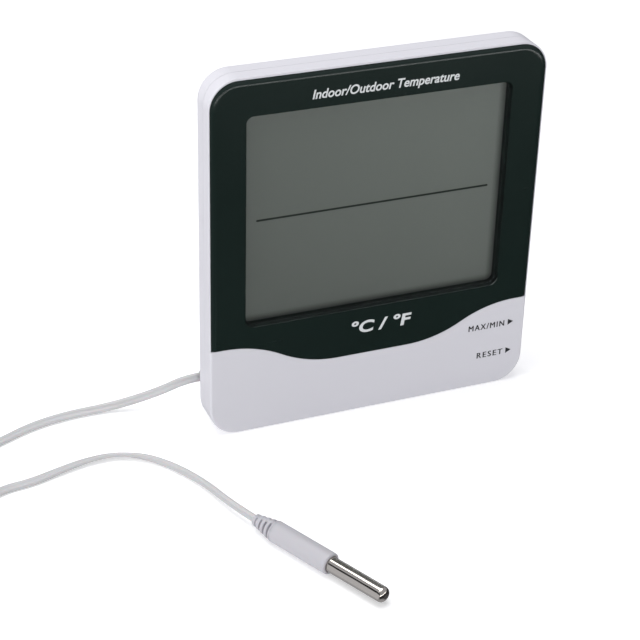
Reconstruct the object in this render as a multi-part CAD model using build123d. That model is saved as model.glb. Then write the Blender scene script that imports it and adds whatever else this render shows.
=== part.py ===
"""Free-standing maximum and minimum thermometer with an outdoor sensor on a lead.

The row frame is in millimetres: +X to the viewer's right, +Y to the back, +Z up. The origin is
the middle of the flat base that the case stands on, so the front face is at y = -CASE_DEPTH / 2.
"""

from build123d import *
import math
import os

# ---- case ----
CASE_WIDTH = 100.0
CASE_HEIGHT = 110.0
CASE_DEPTH = 20.0
CORNER_RADIUS = 8.5
EDGE_ROUND = 0.7  # rounding of the front edge, all round
FRONT_SHELL_DEPTH = 5.0  # from the front face to the parting plane
RIM_DEPTH = 11.0  # from the front face to the back of the full-size rim
RIM_BACK_ROUND = 2.0
RIM_BACK_WALL = 1.4
WALL = 2.0
REAR_WALL = 2.8
SEAM_GAP = 0.1  # parting line
POD_FRONT_INSET = 6.0  # the narrower back of the case, in from the rim, where it leaves the rim
POD_BACK_INSET = 8.0  # the same at the back face
POD_CORNER = 7.0
BACK_EDGE_ROUND = 1.5
LIP_DEPTH = 1.2
LIP_THICKNESS = 1.0
LIP_ROOT = 1.0
GAP = 0.1  # between fixed pieces that meet
FIT = 0.15  # between a piece and the pocket it drops into

# ---- bezel and window ----
BEZEL_THICKNESS = 2.0
BEZEL_SIDE_INSET = 0.3  # white rim that shows beside the bezel
BEZEL_TOP_INSET = 0.6  # the same above it
BEZEL_CORNER = 8.0
BEZEL_RIM_SINK = 0.4  # that rim's front, behind the front face
BEZEL_SLOPE = 1.2  # width of the slope round the bezel's face
BEZEL_FALL = 0.55  # how far the slope falls
BEZEL_BLEND = 2.0  # radius where the face turns into the slope
BEZEL_EDGE_ROUND = 0.25
WAVE_SHOULDER_Z = 28.5
WAVE_BELLY_Z = 19.3
WAVE_SHOULDER_INSET = 4.0  # where the curve starts, in from each side
WAVE_BELLY_HALF = 11.0  # half the flat stretch in the middle
WINDOW_WIDTH = 79.4
WINDOW_HEIGHT = 64.7
WINDOW_TOP = 11.0  # bezel above the window
WINDOW_CORNER = 2.6
LENS_THICKNESS = 1.0
LENS_SINK = 0.1
LENS_LEDGE = 0.6
DISPLAY_SINK = 2.9  # display surface behind the front face
BEZEL_SEAT = 1.4  # front shell's thickness under the bezel

# ---- liquid crystal display ----
GLASS_OVERLAP_X = 2.9
GLASS_OVERLAP_Z = 3.4
GLASS_THICKNESS = 0.8
FILM_THICKNESS = 0.2
CONTACT_LEDGE = 2.6
STRIP_THICKNESS = 1.8
STRIP_END = 4.0  # strip shorter than the glass, at each end
HOLDER_WALL = 2.2
HOLDER_GAP = 0.3
RIB_THICKNESS = 1.0
EAR_REACH = 1.9
EAR_HEIGHT = 5.0
EAR_SPREAD = 26.0  # ears above and below the display's middle

# ---- circuit board ----
BOARD_THICKNESS = 1.0
BOARD_GAP = 2.6  # from the bezel seat's back to the board
BOARD_SIDE = 2.4  # board's edge in from the shell's inner wall
BOARD_BOTTOM = 4.5
BOARD_TOP = 5.0  # below the top of the case
BOARD_CORNER = 5.0
BOARD_SCREW_X = 16.0
BOARD_SCREW_Z = 9.0
BOARD_SCREW_RADIUS = 0.8
BOARD_SCREW_HEAD = 1.5
BOARD_SCREW_HEAD_HEIGHT = 1.0
BOARD_SCREW_LENGTH = 3.2
BOARD_BOSS_RADIUS = 2.2

# ---- snap hooks at the top ----
HOOK_X = 25.0
HOOK_WIDTH = 8.0
HOOK_THICKNESS = 1.5
HOOK_REACH = 1.5
BARB = 0.6
BARB_LENGTH = 0.6

# ---- case screws ----
CASE_SCREW_X = 34.0
CASE_SCREW_Z = 24.0
CASE_SCREW_RADIUS = 1.1
CASE_SCREW_LENGTH = 9.0
CASE_SCREW_HEAD = 2.4
CASE_SCREW_HEAD_HEIGHT = 1.6
CASE_SCREW_SEAT_Y = 3.5
FRONT_BOSS_RADIUS = 3.2
BOSS_MEET_Y = 0.0
REAR_BOSS_RADIUS = 4.0

# ---- parts on the back of the board ----
CHIP_PLACE = (0.0, 52.0)
CHIP_RADIUS = 6.0
CHIP_HEIGHT = 1.6
CRYSTAL_PLACE = (-14.0, 57.0)
CRYSTAL_RADIUS = 1.0
CRYSTAL_LENGTH = 6.0
CAPACITOR_PLACES = [(14.0, 58.0), (14.0, 50.0), (14.0, 42.0)]
CAPACITOR_SIZE = (2.0, 1.3, 3.2)
RESISTOR_PLACES = [(-10.0 + 4.0 * n, 40.0) for n in range(5)]
RESISTOR_SIZE = (1.3, 0.6, 2.0)
SENSOR_PLACE = (33.0, 46.0)
SENSOR_RADIUS = 1.2

# ---- buttons on the right side ----
BUTTON_Z = {"button_maxmin": 20.8, "button_reset": 10.8}
BUTTON_HEIGHT = 6.4
BUTTON_WIDTH = 2.2
BUTTON_PROUD = 0.8
BUTTON_FLANGE = 0.4  # flange past the cap, all round
BUTTON_FLANGE_THICKNESS = 1.2
BUTTON_CLEARANCE = 0.15
SWITCH_HEIGHT = 6.0
SWITCH_DEPTH = 2.0
SWITCH_LENGTH = 4.0
PLUNGER_HEIGHT = 2.4
PLUNGER_WIDTH = 1.1
PLUNGER_PROUD = 1.1
PLUNGER_SUNK = 1.5
BUTTON_TRAVEL = 0.5

# ---- battery, its bay and door ----
CELL_RADIUS = 5.25
CELL_LENGTH = 44.5
CELL_NIPPLE_RADIUS = 1.9
CELL_NIPPLE = 0.8
BAY_LENGTH = 50.5
BAY_Z = 80.0
BAY_CLEARANCE = 0.65
BAY_FLOOR = 1.0
BAY_WALL = 1.2
DOOR_THICKNESS = 2.0
DOOR_OVERLAP = 2.0
DOOR_GAP = 0.25
DOOR_PIN_RADIUS = 0.55
DOOR_PIN_LENGTH = 1.2
PIN_CLEARANCE = 0.07
PLATE_THICKNESS = 0.4
SPRING_WIRE = 0.35  # radius
SPRING_TURNS = 4

WIRE_RADIUS = 0.5
WIRE_ROUTE = [(29.4, 3.0, 80.0), (32.4, 3.0, 80.0), (34.6, 2.2, 77.2), (34.9, 0.2, 73.8), (34.9, -0.6, 70.6)]

# ---- stand ----
STAND_WIDTH = 30.0
STAND_THICKNESS = 2.6
STAND_PIVOT_Z = 62.0
STAND_FOOT_Z = 3.0
STAND_SIDE_GAP = 0.4
STAND_RECESS = 2.8
STAND_FLOOR = 1.6
STAND_PIN_RADIUS = 0.9
STAND_PIN_LENGTH = 1.5

# ---- unit switch, vents and keyhole in the back ----
UNIT_X = -30.0
UNIT_Z = 48.0
UNIT_TRAVEL = 2.5
UNIT_BODY = (4.0, 5.0, 8.6)
UNIT_STEM = 2.0
UNIT_STEM_CLEARANCE = 0.3
UNIT_STEM_BELOW_BACK = 0.4
UNIT_DISH = (7.0, 12.0, 0.8)
VENT_X = 31.0
VENT_Z = 46.0
VENT_LENGTH = 12.0
VENT_WIDTH = 1.4
VENT_PITCH = 3.4
VENT_COUNT = 4
KEYHOLE_Z = 93.5
KEYHOLE_RADIUS = 4.0
KEYHOLE_SLOT_RADIUS = 2.0
KEYHOLE_RISE = 4.5

# ---- sensor lead ----
CORD_DIAMETER = 2.6
GLAND_Y = 4.6
GLAND_Z = 12.0
GLAND_HOLE_RADIUS = 2.2
GLAND_FLANGE_RADIUS = 3.0
GLAND_BARB_RADIUS = 2.5
GLAND_FLANGE = 1.0
GLAND_SEAT = 0.75  # flange stands off the sloping wall
GLAND_NOSE_RADIUS = 1.9
GLAND_NOSE = 3.0
BORE_CLEARANCE = 0.05
COIL_CENTRE = (-106.05, -22.0)  # x from the gland's tip
COIL_MEAN_RADIUS = 22.0
COIL_BUNDLE = 13.4
COIL_HEIGHT = 6.2
COIL_LIFT = 0.8
TIE_WIDTH = 3.0
TIE_THICKNESS = 0.6

# ---- probe ----
PROBE_START = (-5.05, -55.9)
PROBE_DIRECTION = (0.4211, -0.9070)
GRIP_RADIUS = 3.05
GRIP_LENGTH = 27.5
GRIP_NOSE_RADIUS = 1.7
RELIEF_LENGTH = 7.6
RELIEF_SLOTS = 4
RELIEF_PITCH = 1.75
RELIEF_SLOT = 0.8
RELIEF_CORE = 1.45
PROBE_STRAIGHT = 7.6  # lead runs straight for this far before the grip
SHEATH_RADIUS = 2.15
SHEATH_WALL = 0.3
SHEATH_SHOWN = 18.8
SHEATH_SUNK = 6.0
BEAD_RADIUS = 1.0

FRONT_Y = -CASE_DEPTH / 2
BACK_Y = CASE_DEPTH / 2
PARTING_Y = FRONT_Y + FRONT_SHELL_DEPTH
RIM_BACK_Y = FRONT_Y + RIM_DEPTH
BEZEL_BACK_Y = FRONT_Y + BEZEL_THICKNESS
SEAT_BACK_Y = BEZEL_BACK_Y + BEZEL_SEAT
DISPLAY_Y = FRONT_Y + DISPLAY_SINK
WINDOW_Z = CASE_HEIGHT - WINDOW_TOP - WINDOW_HEIGHT / 2
APERTURE_WIDTH = WINDOW_WIDTH - 2 * LENS_LEDGE
APERTURE_HEIGHT = WINDOW_HEIGHT - 2 * LENS_LEDGE
GLASS_WIDTH = APERTURE_WIDTH + 2 * GLASS_OVERLAP_X
GLASS_HEIGHT = APERTURE_HEIGHT + 2 * GLASS_OVERLAP_Z
HOLDER_WIDTH = GLASS_WIDTH + 2 * (HOLDER_GAP + HOLDER_WALL)
HOLDER_HEIGHT = GLASS_HEIGHT + 2 * (HOLDER_GAP + HOLDER_WALL)
BOARD_FRONT_Y = SEAT_BACK_Y + BOARD_GAP
BOARD_BACK_Y = BOARD_FRONT_Y + BOARD_THICKNESS
BOARD_HALF = CASE_WIDTH / 2 - WALL - BOARD_SIDE
EAR_X = HOLDER_WIDTH / 2 - GAP
BUTTON_Y = BOARD_BACK_Y + SWITCH_DEPTH / 2
INNER_SIDE_X = CASE_WIDTH / 2 - WALL
SWITCH_FACE_X = INNER_SIDE_X - BUTTON_CLEARANCE - BUTTON_FLANGE_THICKNESS - GAP - PLUNGER_PROUD
REAR_INNER_Y = BACK_Y - REAR_WALL
DOOR_INNER_Y = BACK_Y - DOOR_THICKNESS
CELL_Y = DOOR_INNER_Y - 0.3 - CELL_RADIUS
BAY_HALF_HEIGHT = CELL_RADIUS + BAY_CLEARANCE
BAY_FRONT_Y = CELL_Y - CELL_RADIUS - 0.2
DOOR_WIDTH = BAY_LENGTH + 2 * (BAY_WALL + DOOR_OVERLAP)
DOOR_HEIGHT = 2 * (BAY_HALF_HEIGHT + DOOR_OVERLAP)
DOOR_PIVOT = (BACK_Y - DOOR_THICKNESS / 2, BAY_Z - DOOR_HEIGHT / 2 + DOOR_THICKNESS / 2)
STAND_Y = BACK_Y - STAND_THICKNESS / 2
CORD_RADIUS = CORD_DIAMETER / 2
GLAND_SHARE = (GLAND_Y - RIM_BACK_Y) / (BACK_Y - RIM_BACK_Y)
GLAND_WALL_X = POD_FRONT_INSET + GLAND_SHARE * (POD_BACK_INSET - POD_FRONT_INSET) - CASE_WIDTH / 2
GLAND_TIP_X = GLAND_WALL_X - GLAND_SEAT - GLAND_FLANGE - GLAND_NOSE

# Route of the lead from the gland to the coil, and from the coil to the probe; x from the gland's tip.
LEAD_OUT = [
    (0.0, GLAND_Y, GLAND_Z),
    (-5.05, GLAND_Y, GLAND_Z),
    (-10.65, 7.6, 8.0),
    (-17.45, 11.7, 3.8),
    (-26.45, 13.8, 1.35),
    (-38.25, 13.9, 1.35),
    (-49.65, 11.8, 1.35),
    (-60.25, 6.9, 1.35),
    (-71.45, 2.6, 1.35),
    (-83.05, 4.2, 1.5),
    (-94.45, 4.4, 1.9),
    (-104.05, 3.2, 2.1),
]
LEAD_BACK = [
    (-92.25, -44.6, 2.1),
    (-84.65, -38.4, 1.7),
    (-79.45, -29.8, 1.35),
    (-73.65, -21.4, 1.35),
    (-64.65, -16.2, 1.35),
    (-56.05, -15.6, 1.35),
    (-47.05, -12.6, 1.4),
    (-38.45, -10.6, 1.4),
    (-30.65, -10.6, 1.4),
    (-23.65, -14.2, 1.4),
    (-17.45, -21.6, 1.5),
    (-11.65, -33.6, 1.9),
]


def rounded(width, height, radius, x=0.0, z=0.0):
    """A rounded rectangle in the plane of the front face, about (x, z)."""
    return Pos(x, z) * RectangleRounded(width, height, radius)


def slab(outline, y_front, y_back):
    """The outline, drawn in x and z, made solid between two depths."""
    plane = Plane(origin=(0, y_back, 0), x_dir=(1, 0, 0), z_dir=(0, -1, 0))
    return extrude(plane * outline, amount=y_back - y_front)


def post(x, z, radius, y_front, y_back):
    """A round post or hole along Y."""
    return slab(Pos(x, z) * Circle(radius), y_front, y_back)


def block(x0, x1, y0, y1, z0, z1):
    """A box between two corners."""
    return Pos((x0 + x1) / 2, (y0 + y1) / 2, (z0 + z1) / 2) * Box(x1 - x0, y1 - y0, z1 - z0)


def rod(start, end, radius):
    """A round rod between two points."""
    axis = Vector(*end) - Vector(*start)
    return Plane(origin=start, z_dir=axis) * Cylinder(
        radius, axis.length, align=(Align.CENTER, Align.CENTER, Align.MIN)
    )


def joined(solids):
    """One solid made of several."""
    whole = solids[0]
    for solid in solids[1:]:
        whole += solid
    return whole


def group(solids):
    """Several separate solids in one node."""
    return Compound(children=[s for piece in solids for s in piece.solids()])


def bend_radii(points):
    """The largest arc at each inner point that both of its runs leave room for."""
    radii = []
    for before, at, after in zip(points, points[1:], points[2:]):
        run_in, run_out = Vector(*at) - Vector(*before), Vector(*after) - Vector(*at)
        turn = math.radians(run_in.get_angle(run_out))
        radii.append(0.45 * min(run_in.length, run_out.length) / math.tan(turn / 2))
    return radii


def tube(points, radius):
    """A round cord along straight runs joined by tangent arcs."""
    path = FilletPolyline(*points, radius=bend_radii(points))
    start = Plane(origin=path @ 0, z_dir=path % 0)
    return sweep(start * Circle(radius), path=path)


def case_outline(inset=0.0):
    """The case's front outline, moved in by inset."""
    return rounded(
        CASE_WIDTH - 2 * inset,
        CASE_HEIGHT - 2 * inset,
        CORNER_RADIUS - inset,
        z=CASE_HEIGHT / 2,
    )


def case_block():
    """The front shell's outer form, solid, with its front edge rounded."""
    body = slab(case_outline(), FRONT_Y, PARTING_Y)
    return fillet(body.faces().sort_by(Axis.Y)[0].edges(), EDGE_ROUND)


def above_wave(lift=0.0):
    """Everything on the front face above the curved lower edge of the bezel."""
    half = CASE_WIDTH / 2 + 1
    shoulder_x = CASE_WIDTH / 2 - WAVE_SHOULDER_INSET
    shoulder, belly = WAVE_SHOULDER_Z + lift, WAVE_BELLY_Z + lift
    middle = ((shoulder_x + WAVE_BELLY_HALF) / 2, (shoulder + belly) / 2)
    top = CASE_HEIGHT + 1
    right = [
        TangentArc((WAVE_BELLY_HALF, belly), middle, tangent=(1, 0)),
        TangentArc((shoulder_x, shoulder), middle, tangent=(-1, 0)),
        Line((shoulder_x, shoulder), (half, shoulder)),
    ]
    left = [mirror(edge, about=Plane.YZ) for edge in right]
    closing = [
        Line((-WAVE_BELLY_HALF, belly), (WAVE_BELLY_HALF, belly)),
        Line((half, shoulder), (half, top)),
        Line((half, top), (-half, top)),
        Line((-half, top), (-half, shoulder)),
    ]
    return make_face(Curve() + right + left + closing)


def bezel_outline(inset=0.0):
    """The bezel's outline before the curved lower edge is cut, moved in by inset."""
    bottom, top = BEZEL_SIDE_INSET + inset, CASE_HEIGHT - BEZEL_TOP_INSET - inset
    width = CASE_WIDTH - 2 * (BEZEL_SIDE_INSET + inset)
    return rounded(width, top - bottom, BEZEL_CORNER - inset, z=(bottom + top) / 2)


def bezel_plate():
    """The bezel's plate with a shallow slope round its face, before anything is cut from it."""
    plate = slab(bezel_outline(GAP / 2), FRONT_Y, BEZEL_BACK_Y)
    face = plate.faces().sort_by(Axis.Y)[0]
    plate = chamfer(face.edges(), BEZEL_SLOPE, BEZEL_FALL, reference=face)
    plate = fillet(plate.faces().sort_by(Axis.Y)[0].edges(), BEZEL_BLEND)
    rim = [edge for edge in plate.edges() if abs(edge.center().Y - (FRONT_Y + BEZEL_FALL)) < 0.01]
    return fillet(rim, BEZEL_EDGE_ROUND)


def make_bezel():
    """Rounded dark frame over the upper front, with a skirt that holds the display back."""
    frame = bezel_plate() & slab(above_wave(GAP), FRONT_Y, BEZEL_BACK_Y)
    skirt = slab(
        rounded(GLASS_WIDTH, GLASS_HEIGHT, WINDOW_CORNER, z=WINDOW_Z), BEZEL_BACK_Y - 0.5, DISPLAY_Y
    )
    aperture = slab(
        rounded(APERTURE_WIDTH, APERTURE_HEIGHT, WINDOW_CORNER - LENS_LEDGE, z=WINDOW_Z),
        FRONT_Y - 1,
        DISPLAY_Y + 1,
    )
    rebate = slab(
        rounded(WINDOW_WIDTH, WINDOW_HEIGHT, WINDOW_CORNER, z=WINDOW_Z),
        FRONT_Y - 1,
        FRONT_Y + LENS_SINK + LENS_THICKNESS,
    )
    return frame + skirt - aperture - rebate


def make_lens():
    """Clear window pane in the bezel's rebate."""
    outline = rounded(
        WINDOW_WIDTH - GAP, WINDOW_HEIGHT - GAP, WINDOW_CORNER - GAP / 2, z=WINDOW_Z
    )
    front = FRONT_Y + LENS_SINK
    return slab(outline, front, front + LENS_THICKNESS)


def make_front_case():
    """White front shell: the rim, the lower front and the seat under the bezel."""
    shell = case_block() - slab(above_wave(), FRONT_Y - 1, FRONT_Y + BEZEL_RIM_SINK)
    shell -= slab(bezel_outline(), FRONT_Y - 1, BEZEL_BACK_Y) & slab(above_wave(), FRONT_Y - 1, BEZEL_BACK_Y)
    shell -= slab(case_outline(WALL), SEAT_BACK_Y, PARTING_Y + 1)
    pocket_top = WAVE_BELLY_Z - WALL
    shell -= slab(
        Pos(0, (WALL + pocket_top) / 2)
        * RectangleRounded(CASE_WIDTH - 2 * WALL, pocket_top - WALL, CORNER_RADIUS - WALL),
        FRONT_Y + WALL,
        SEAT_BACK_Y + 1,
    )
    shell -= slab(
        Pos(0, WINDOW_Z) * Rectangle(GLASS_WIDTH + 2 * FIT, GLASS_HEIGHT + 2 * FIT),
        BEZEL_BACK_Y - 1,
        SEAT_BACK_Y + 1,
    )
    for side in (-1, 1):
        x = side * CASE_SCREW_X
        shell += post(x, CASE_SCREW_Z, FRONT_BOSS_RADIUS, SEAT_BACK_Y - 0.5, BOSS_MEET_Y - GAP)
        depth = CASE_SCREW_SEAT_Y - CASE_SCREW_LENGTH - 0.5
        shell -= post(x, CASE_SCREW_Z, CASE_SCREW_RADIUS + 0.03, depth, BOSS_MEET_Y)
        x = side * BOARD_SCREW_X
        shell += post(x, BOARD_SCREW_Z, BOARD_BOSS_RADIUS, FRONT_Y + WALL - 0.5, BOARD_FRONT_Y)
        depth = BOARD_BACK_Y - BOARD_SCREW_LENGTH - 0.5
        shell -= post(x, BOARD_SCREW_Z, BOARD_SCREW_RADIUS + 0.03, depth, BOARD_FRONT_Y + 1)
        shell -= hook_notch(side)
    return shell


def hook_notch(side):
    """Pocket inside the front shell's top wall for the rear cover's snap hook."""
    top, tip = CASE_HEIGHT - WALL, PARTING_Y - HOOK_REACH
    half = HOOK_WIDTH / 2 + FIT
    x = side * HOOK_X
    return block(x - half, x + half, tip - FIT, tip + BARB_LENGTH + FIT, top - 1, top + BARB + FIT)


def hook(side):
    """Snap hook along the rear cover's top edge."""
    top, tip = CASE_HEIGHT - WALL - FIT, PARTING_Y - HOOK_REACH
    x0, x1 = side * HOOK_X - HOOK_WIDTH / 2, side * HOOK_X + HOOK_WIDTH / 2
    arm = block(x0, x1, tip, PARTING_Y + LIP_ROOT, top - HOOK_THICKNESS, top)
    return arm + block(x0, x1, tip, tip + BARB_LENGTH, top - HOOK_THICKNESS, top + BARB)


def pod_section(y, inset, wall):
    """Outline of the case's narrower back at one depth. Its bottom edge stays on the base."""
    width = CASE_WIDTH - 2 * (inset + wall)
    height = CASE_HEIGHT - inset - 2 * wall
    plane = Plane(origin=(0, y, 0), x_dir=(1, 0, 0), z_dir=(0, -1, 0))
    return plane * rounded(width, height, POD_CORNER - wall, z=wall + height / 2)


def pod_inset(y):
    """How far the narrower back is in from the rim at one depth."""
    share = (y - RIM_BACK_Y) / (BACK_Y - RIM_BACK_Y)
    return POD_FRONT_INSET + share * (POD_BACK_INSET - POD_FRONT_INSET)


def pod(y_front, y_back, wall):
    """The narrower back between two depths, moved in by wall."""
    ends = [pod_section(y, pod_inset(y), wall) for y in (y_front, y_back)]
    return loft(ends, ruled=True)


def rear_block():
    """The rear cover's outer form, solid: the back of the rim and the narrower back."""
    rim = slab(case_outline(), PARTING_Y + SEAM_GAP, RIM_BACK_Y)
    rim = fillet(rim.faces().sort_by(Axis.Y)[-1].edges(), RIM_BACK_ROUND)
    back = pod(RIM_BACK_Y - 2 * RIM_BACK_ROUND, BACK_Y, 0)
    return rim + fillet(back.faces().sort_by(Axis.Y)[-1].edges(), BACK_EDGE_ROUND)


def rear_hollow():
    """The space inside the rear cover."""
    rim_floor = RIM_BACK_Y - RIM_BACK_WALL
    return slab(case_outline(WALL), PARTING_Y - 1, rim_floor) + pod(rim_floor - 0.1, REAR_INNER_Y, WALL)


def keyhole():
    """Keyhole through the back, for one wall screw."""
    top = KEYHOLE_Z + KEYHOLE_RISE
    shape = Pos(0, KEYHOLE_Z) * Circle(KEYHOLE_RADIUS) + Pos(0, top) * Circle(KEYHOLE_SLOT_RADIUS)
    shape += Pos(0, (KEYHOLE_Z + top) / 2) * Rectangle(2 * KEYHOLE_SLOT_RADIUS, KEYHOLE_RISE)
    return slab(shape, REAR_INNER_Y - 1, BACK_Y + 1)


def make_rear_case():
    """White rear cover with the battery bay, stand recess, screw bosses and keyhole."""
    cover = rear_block() - rear_hollow()
    lip = case_outline(WALL + FIT) - case_outline(WALL + FIT + LIP_THICKNESS)
    cover += slab(lip, PARTING_Y - LIP_DEPTH, PARTING_Y + LIP_ROOT)
    root = case_outline(WALL - 0.5) - case_outline(WALL + FIT + LIP_THICKNESS)
    cover += slab(root, PARTING_Y + SEAM_GAP, PARTING_Y + LIP_ROOT)
    for side in (-1, 1):
        cover += hook(side)
        x = side * CASE_SCREW_X
        boss = post(x, CASE_SCREW_Z, REAR_BOSS_RADIUS, BOSS_MEET_Y, REAR_INNER_Y + 0.5)
        cover += boss
        cover -= post(x, CASE_SCREW_Z, CASE_SCREW_RADIUS + 0.4, BOSS_MEET_Y - 1, BACK_Y)
        cover -= post(x, CASE_SCREW_Z, CASE_SCREW_HEAD + 0.4, CASE_SCREW_SEAT_Y, BACK_Y + 1)
    cover += stand_pad()
    cover -= stand_recess()
    cover += bay_box()
    cover -= bay_space()
    cover -= unit_opening()
    for n in range(VENT_COUNT):
        z = VENT_Z + (n - (VENT_COUNT - 1) / 2) * VENT_PITCH
        cover -= slab(Pos(VENT_X, z) * SlotOverall(VENT_LENGTH, VENT_WIDTH), REAR_INNER_Y - 1, BACK_Y + 1)
    cover -= keyhole()
    hole_start = (GLAND_WALL_X - 3, GLAND_Y, GLAND_Z)
    hole_end = (GLAND_WALL_X + 5, GLAND_Y, GLAND_Z)
    cover -= rod(hole_start, hole_end, GLAND_HOLE_RADIUS)
    for z in BUTTON_Z.values():
        cover -= button_prism(z, BUTTON_CLEARANCE, INNER_SIDE_X - 1, CASE_WIDTH / 2 + 1)
    return cover


def stand_pad():
    """Thicker wall behind the stand's recess."""
    half = STAND_WIDTH / 2 + STAND_SIDE_GAP + STAND_FLOOR
    top = STAND_PIVOT_Z + STAND_THICKNESS / 2 + STAND_SIDE_GAP + STAND_FLOOR
    floor = BACK_Y - STAND_RECESS
    return block(-half, half, floor - STAND_FLOOR, REAR_INNER_Y + 0.5, WALL / 2, top)


def stand_recess():
    """The recess that the folded stand lies in, with the holes for its two pins."""
    half = STAND_WIDTH / 2 + STAND_SIDE_GAP
    top = STAND_PIVOT_Z + STAND_THICKNESS / 2 + STAND_SIDE_GAP
    space = block(-half, half, BACK_Y - STAND_RECESS, BACK_Y + 1, -1, top)
    reach = half + STAND_PIN_LENGTH
    pins = rod(
        (-reach, STAND_Y, STAND_PIVOT_Z), (reach, STAND_Y, STAND_PIVOT_Z), STAND_PIN_RADIUS + PIN_CLEARANCE
    )
    return space + pins


def make_stand():
    """Fold-out leg with a round top edge, two moulded pins and a thicker foot."""
    half = STAND_WIDTH / 2
    leg = block(-half, half, BACK_Y - STAND_THICKNESS, BACK_Y, STAND_FOOT_Z, STAND_PIVOT_Z)
    foot_edges = leg.edges().filter_by(Axis.Y).group_by(Axis.Z)[0]
    leg = fillet(foot_edges, 4.0)
    barrel = rod((-half, STAND_Y, STAND_PIVOT_Z), (half, STAND_Y, STAND_PIVOT_Z), STAND_THICKNESS / 2)
    reach = half + STAND_PIN_LENGTH
    pins = rod((-reach, STAND_Y, STAND_PIVOT_Z), (reach, STAND_Y, STAND_PIVOT_Z), STAND_PIN_RADIUS)
    dish = slab(
        rounded(STAND_WIDTH - 8, STAND_PIVOT_Z - STAND_FOOT_Z - 16, 3, z=(STAND_PIVOT_Z + STAND_FOOT_Z) / 2),
        BACK_Y - 1,
        BACK_Y + 1,
    )
    return leg + barrel + pins - dish


def bay_box():
    """Walls of the battery bay, inside the rear cover."""
    half_x, half_z = BAY_LENGTH / 2 + BAY_WALL, BAY_HALF_HEIGHT + BAY_WALL
    front_y = BAY_FRONT_Y - BAY_FLOOR
    return block(-half_x, half_x, front_y, REAR_INNER_Y + 0.5, BAY_Z - half_z, BAY_Z + half_z)


def bay_space():
    """The bay's hollow, the door's rebate and the holes for the door's two pins."""
    half_x, half_z = BAY_LENGTH / 2, BAY_HALF_HEIGHT
    hollow = block(-half_x, half_x, BAY_FRONT_Y, BACK_Y + 1, BAY_Z - half_z, BAY_Z + half_z)
    door_x, door_z = DOOR_WIDTH / 2 + DOOR_GAP, DOOR_HEIGHT / 2 + DOOR_GAP
    rebate = block(-door_x, door_x, DOOR_INNER_Y - GAP, BACK_Y + 1, BAY_Z - door_z, BAY_Z + door_z)
    y, z = DOOR_PIVOT
    reach = DOOR_WIDTH / 2 + DOOR_PIN_LENGTH + DOOR_GAP
    pins = rod((-reach, y, z), (reach, y, z), DOOR_PIN_RADIUS + PIN_CLEARANCE)
    nail = Pos(0, BACK_Y, BAY_Z + door_z) * Cylinder(5, 3, align=(Align.CENTER, Align.CENTER, Align.CENTER))
    return hollow + rebate + pins + nail


def make_battery_door():
    """Battery door with a round hinge edge, two moulded pins and grip ridges."""
    half_x, top = DOOR_WIDTH / 2, BAY_Z + DOOR_HEIGHT / 2
    y, z = DOOR_PIVOT
    door = block(-half_x, half_x, DOOR_INNER_Y, BACK_Y, z, top)
    door += rod((-half_x, y, z), (half_x, y, z), DOOR_THICKNESS / 2)
    reach = half_x + DOOR_PIN_LENGTH
    door += rod((-reach, y, z), (reach, y, z), DOOR_PIN_RADIUS)
    for n in range(3):
        ridge_z = top - 3 - 1.8 * n
        door -= slab(Pos(0, ridge_z) * SlotOverall(16, 0.8), BACK_Y - 0.5, BACK_Y + 1)
    return door


def unit_opening():
    """Finger dish and slot over the unit switch."""
    width, height, depth = UNIT_DISH
    dish = slab(rounded(width, height, 2, x=UNIT_X, z=UNIT_Z), BACK_Y - depth, BACK_Y + 1)
    reach = UNIT_STEM + UNIT_TRAVEL + 2 * UNIT_STEM_CLEARANCE
    half_x = UNIT_STEM / 2 + UNIT_STEM_CLEARANCE
    left, right = UNIT_X - half_x, UNIT_X + half_x
    slot = block(left, right, REAR_INNER_Y - 1, BACK_Y + 1, UNIT_Z - reach / 2, UNIT_Z + reach / 2)
    return dish + slot


def make_unit_switch():
    """Slide switch body on the back of the board, and the slider at its lower stop."""
    width, depth, height = UNIT_BODY
    top_y = BOARD_BACK_Y + depth
    body = block(
        UNIT_X - width / 2, UNIT_X + width / 2, BOARD_BACK_Y, top_y, UNIT_Z - height / 2, UNIT_Z + height / 2
    )
    half, reach = UNIT_STEM / 2, UNIT_STEM + UNIT_TRAVEL
    track = reach / 2 + UNIT_STEM_CLEARANCE
    body -= block(
        UNIT_X - half - GAP, UNIT_X + half + GAP, top_y - 1.5, top_y + 1, UNIT_Z - track, UNIT_Z + track
    )
    slider = block(
        UNIT_X - half,
        UNIT_X + half,
        top_y - 1.2,
        BACK_Y - UNIT_STEM_BELOW_BACK,
        UNIT_Z - reach / 2,
        UNIT_Z - reach / 2 + UNIT_STEM,
    )
    tip = slider.faces().sort_by(Axis.Y)[-1].edges()
    return body, chamfer(tip, 0.3)


def button_prism(z, margin, x0, x1):
    """The button's section, grown by margin, between two places along X."""
    plane = Plane(origin=(x0, BUTTON_Y, z), x_dir=(0, 1, 0), z_dir=(1, 0, 0))
    width, height = BUTTON_WIDTH + 2 * margin, BUTTON_HEIGHT + 2 * margin
    return extrude(plane * RectangleRounded(width, height, width / 2 - 0.01), amount=x1 - x0)


def make_button(z):
    """Push button cap with a flange that keeps it in the case."""
    face_x = CASE_WIDTH / 2 + BUTTON_PROUD
    flange_x = INNER_SIDE_X - BUTTON_CLEARANCE
    cap = button_prism(z, 0, flange_x - 0.5, face_x)
    cap = fillet(cap.faces().sort_by(Axis.X)[-1].edges(), 0.5)
    return cap + button_prism(z, BUTTON_FLANGE, flange_x - BUTTON_FLANGE_THICKNESS, flange_x)


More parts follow.
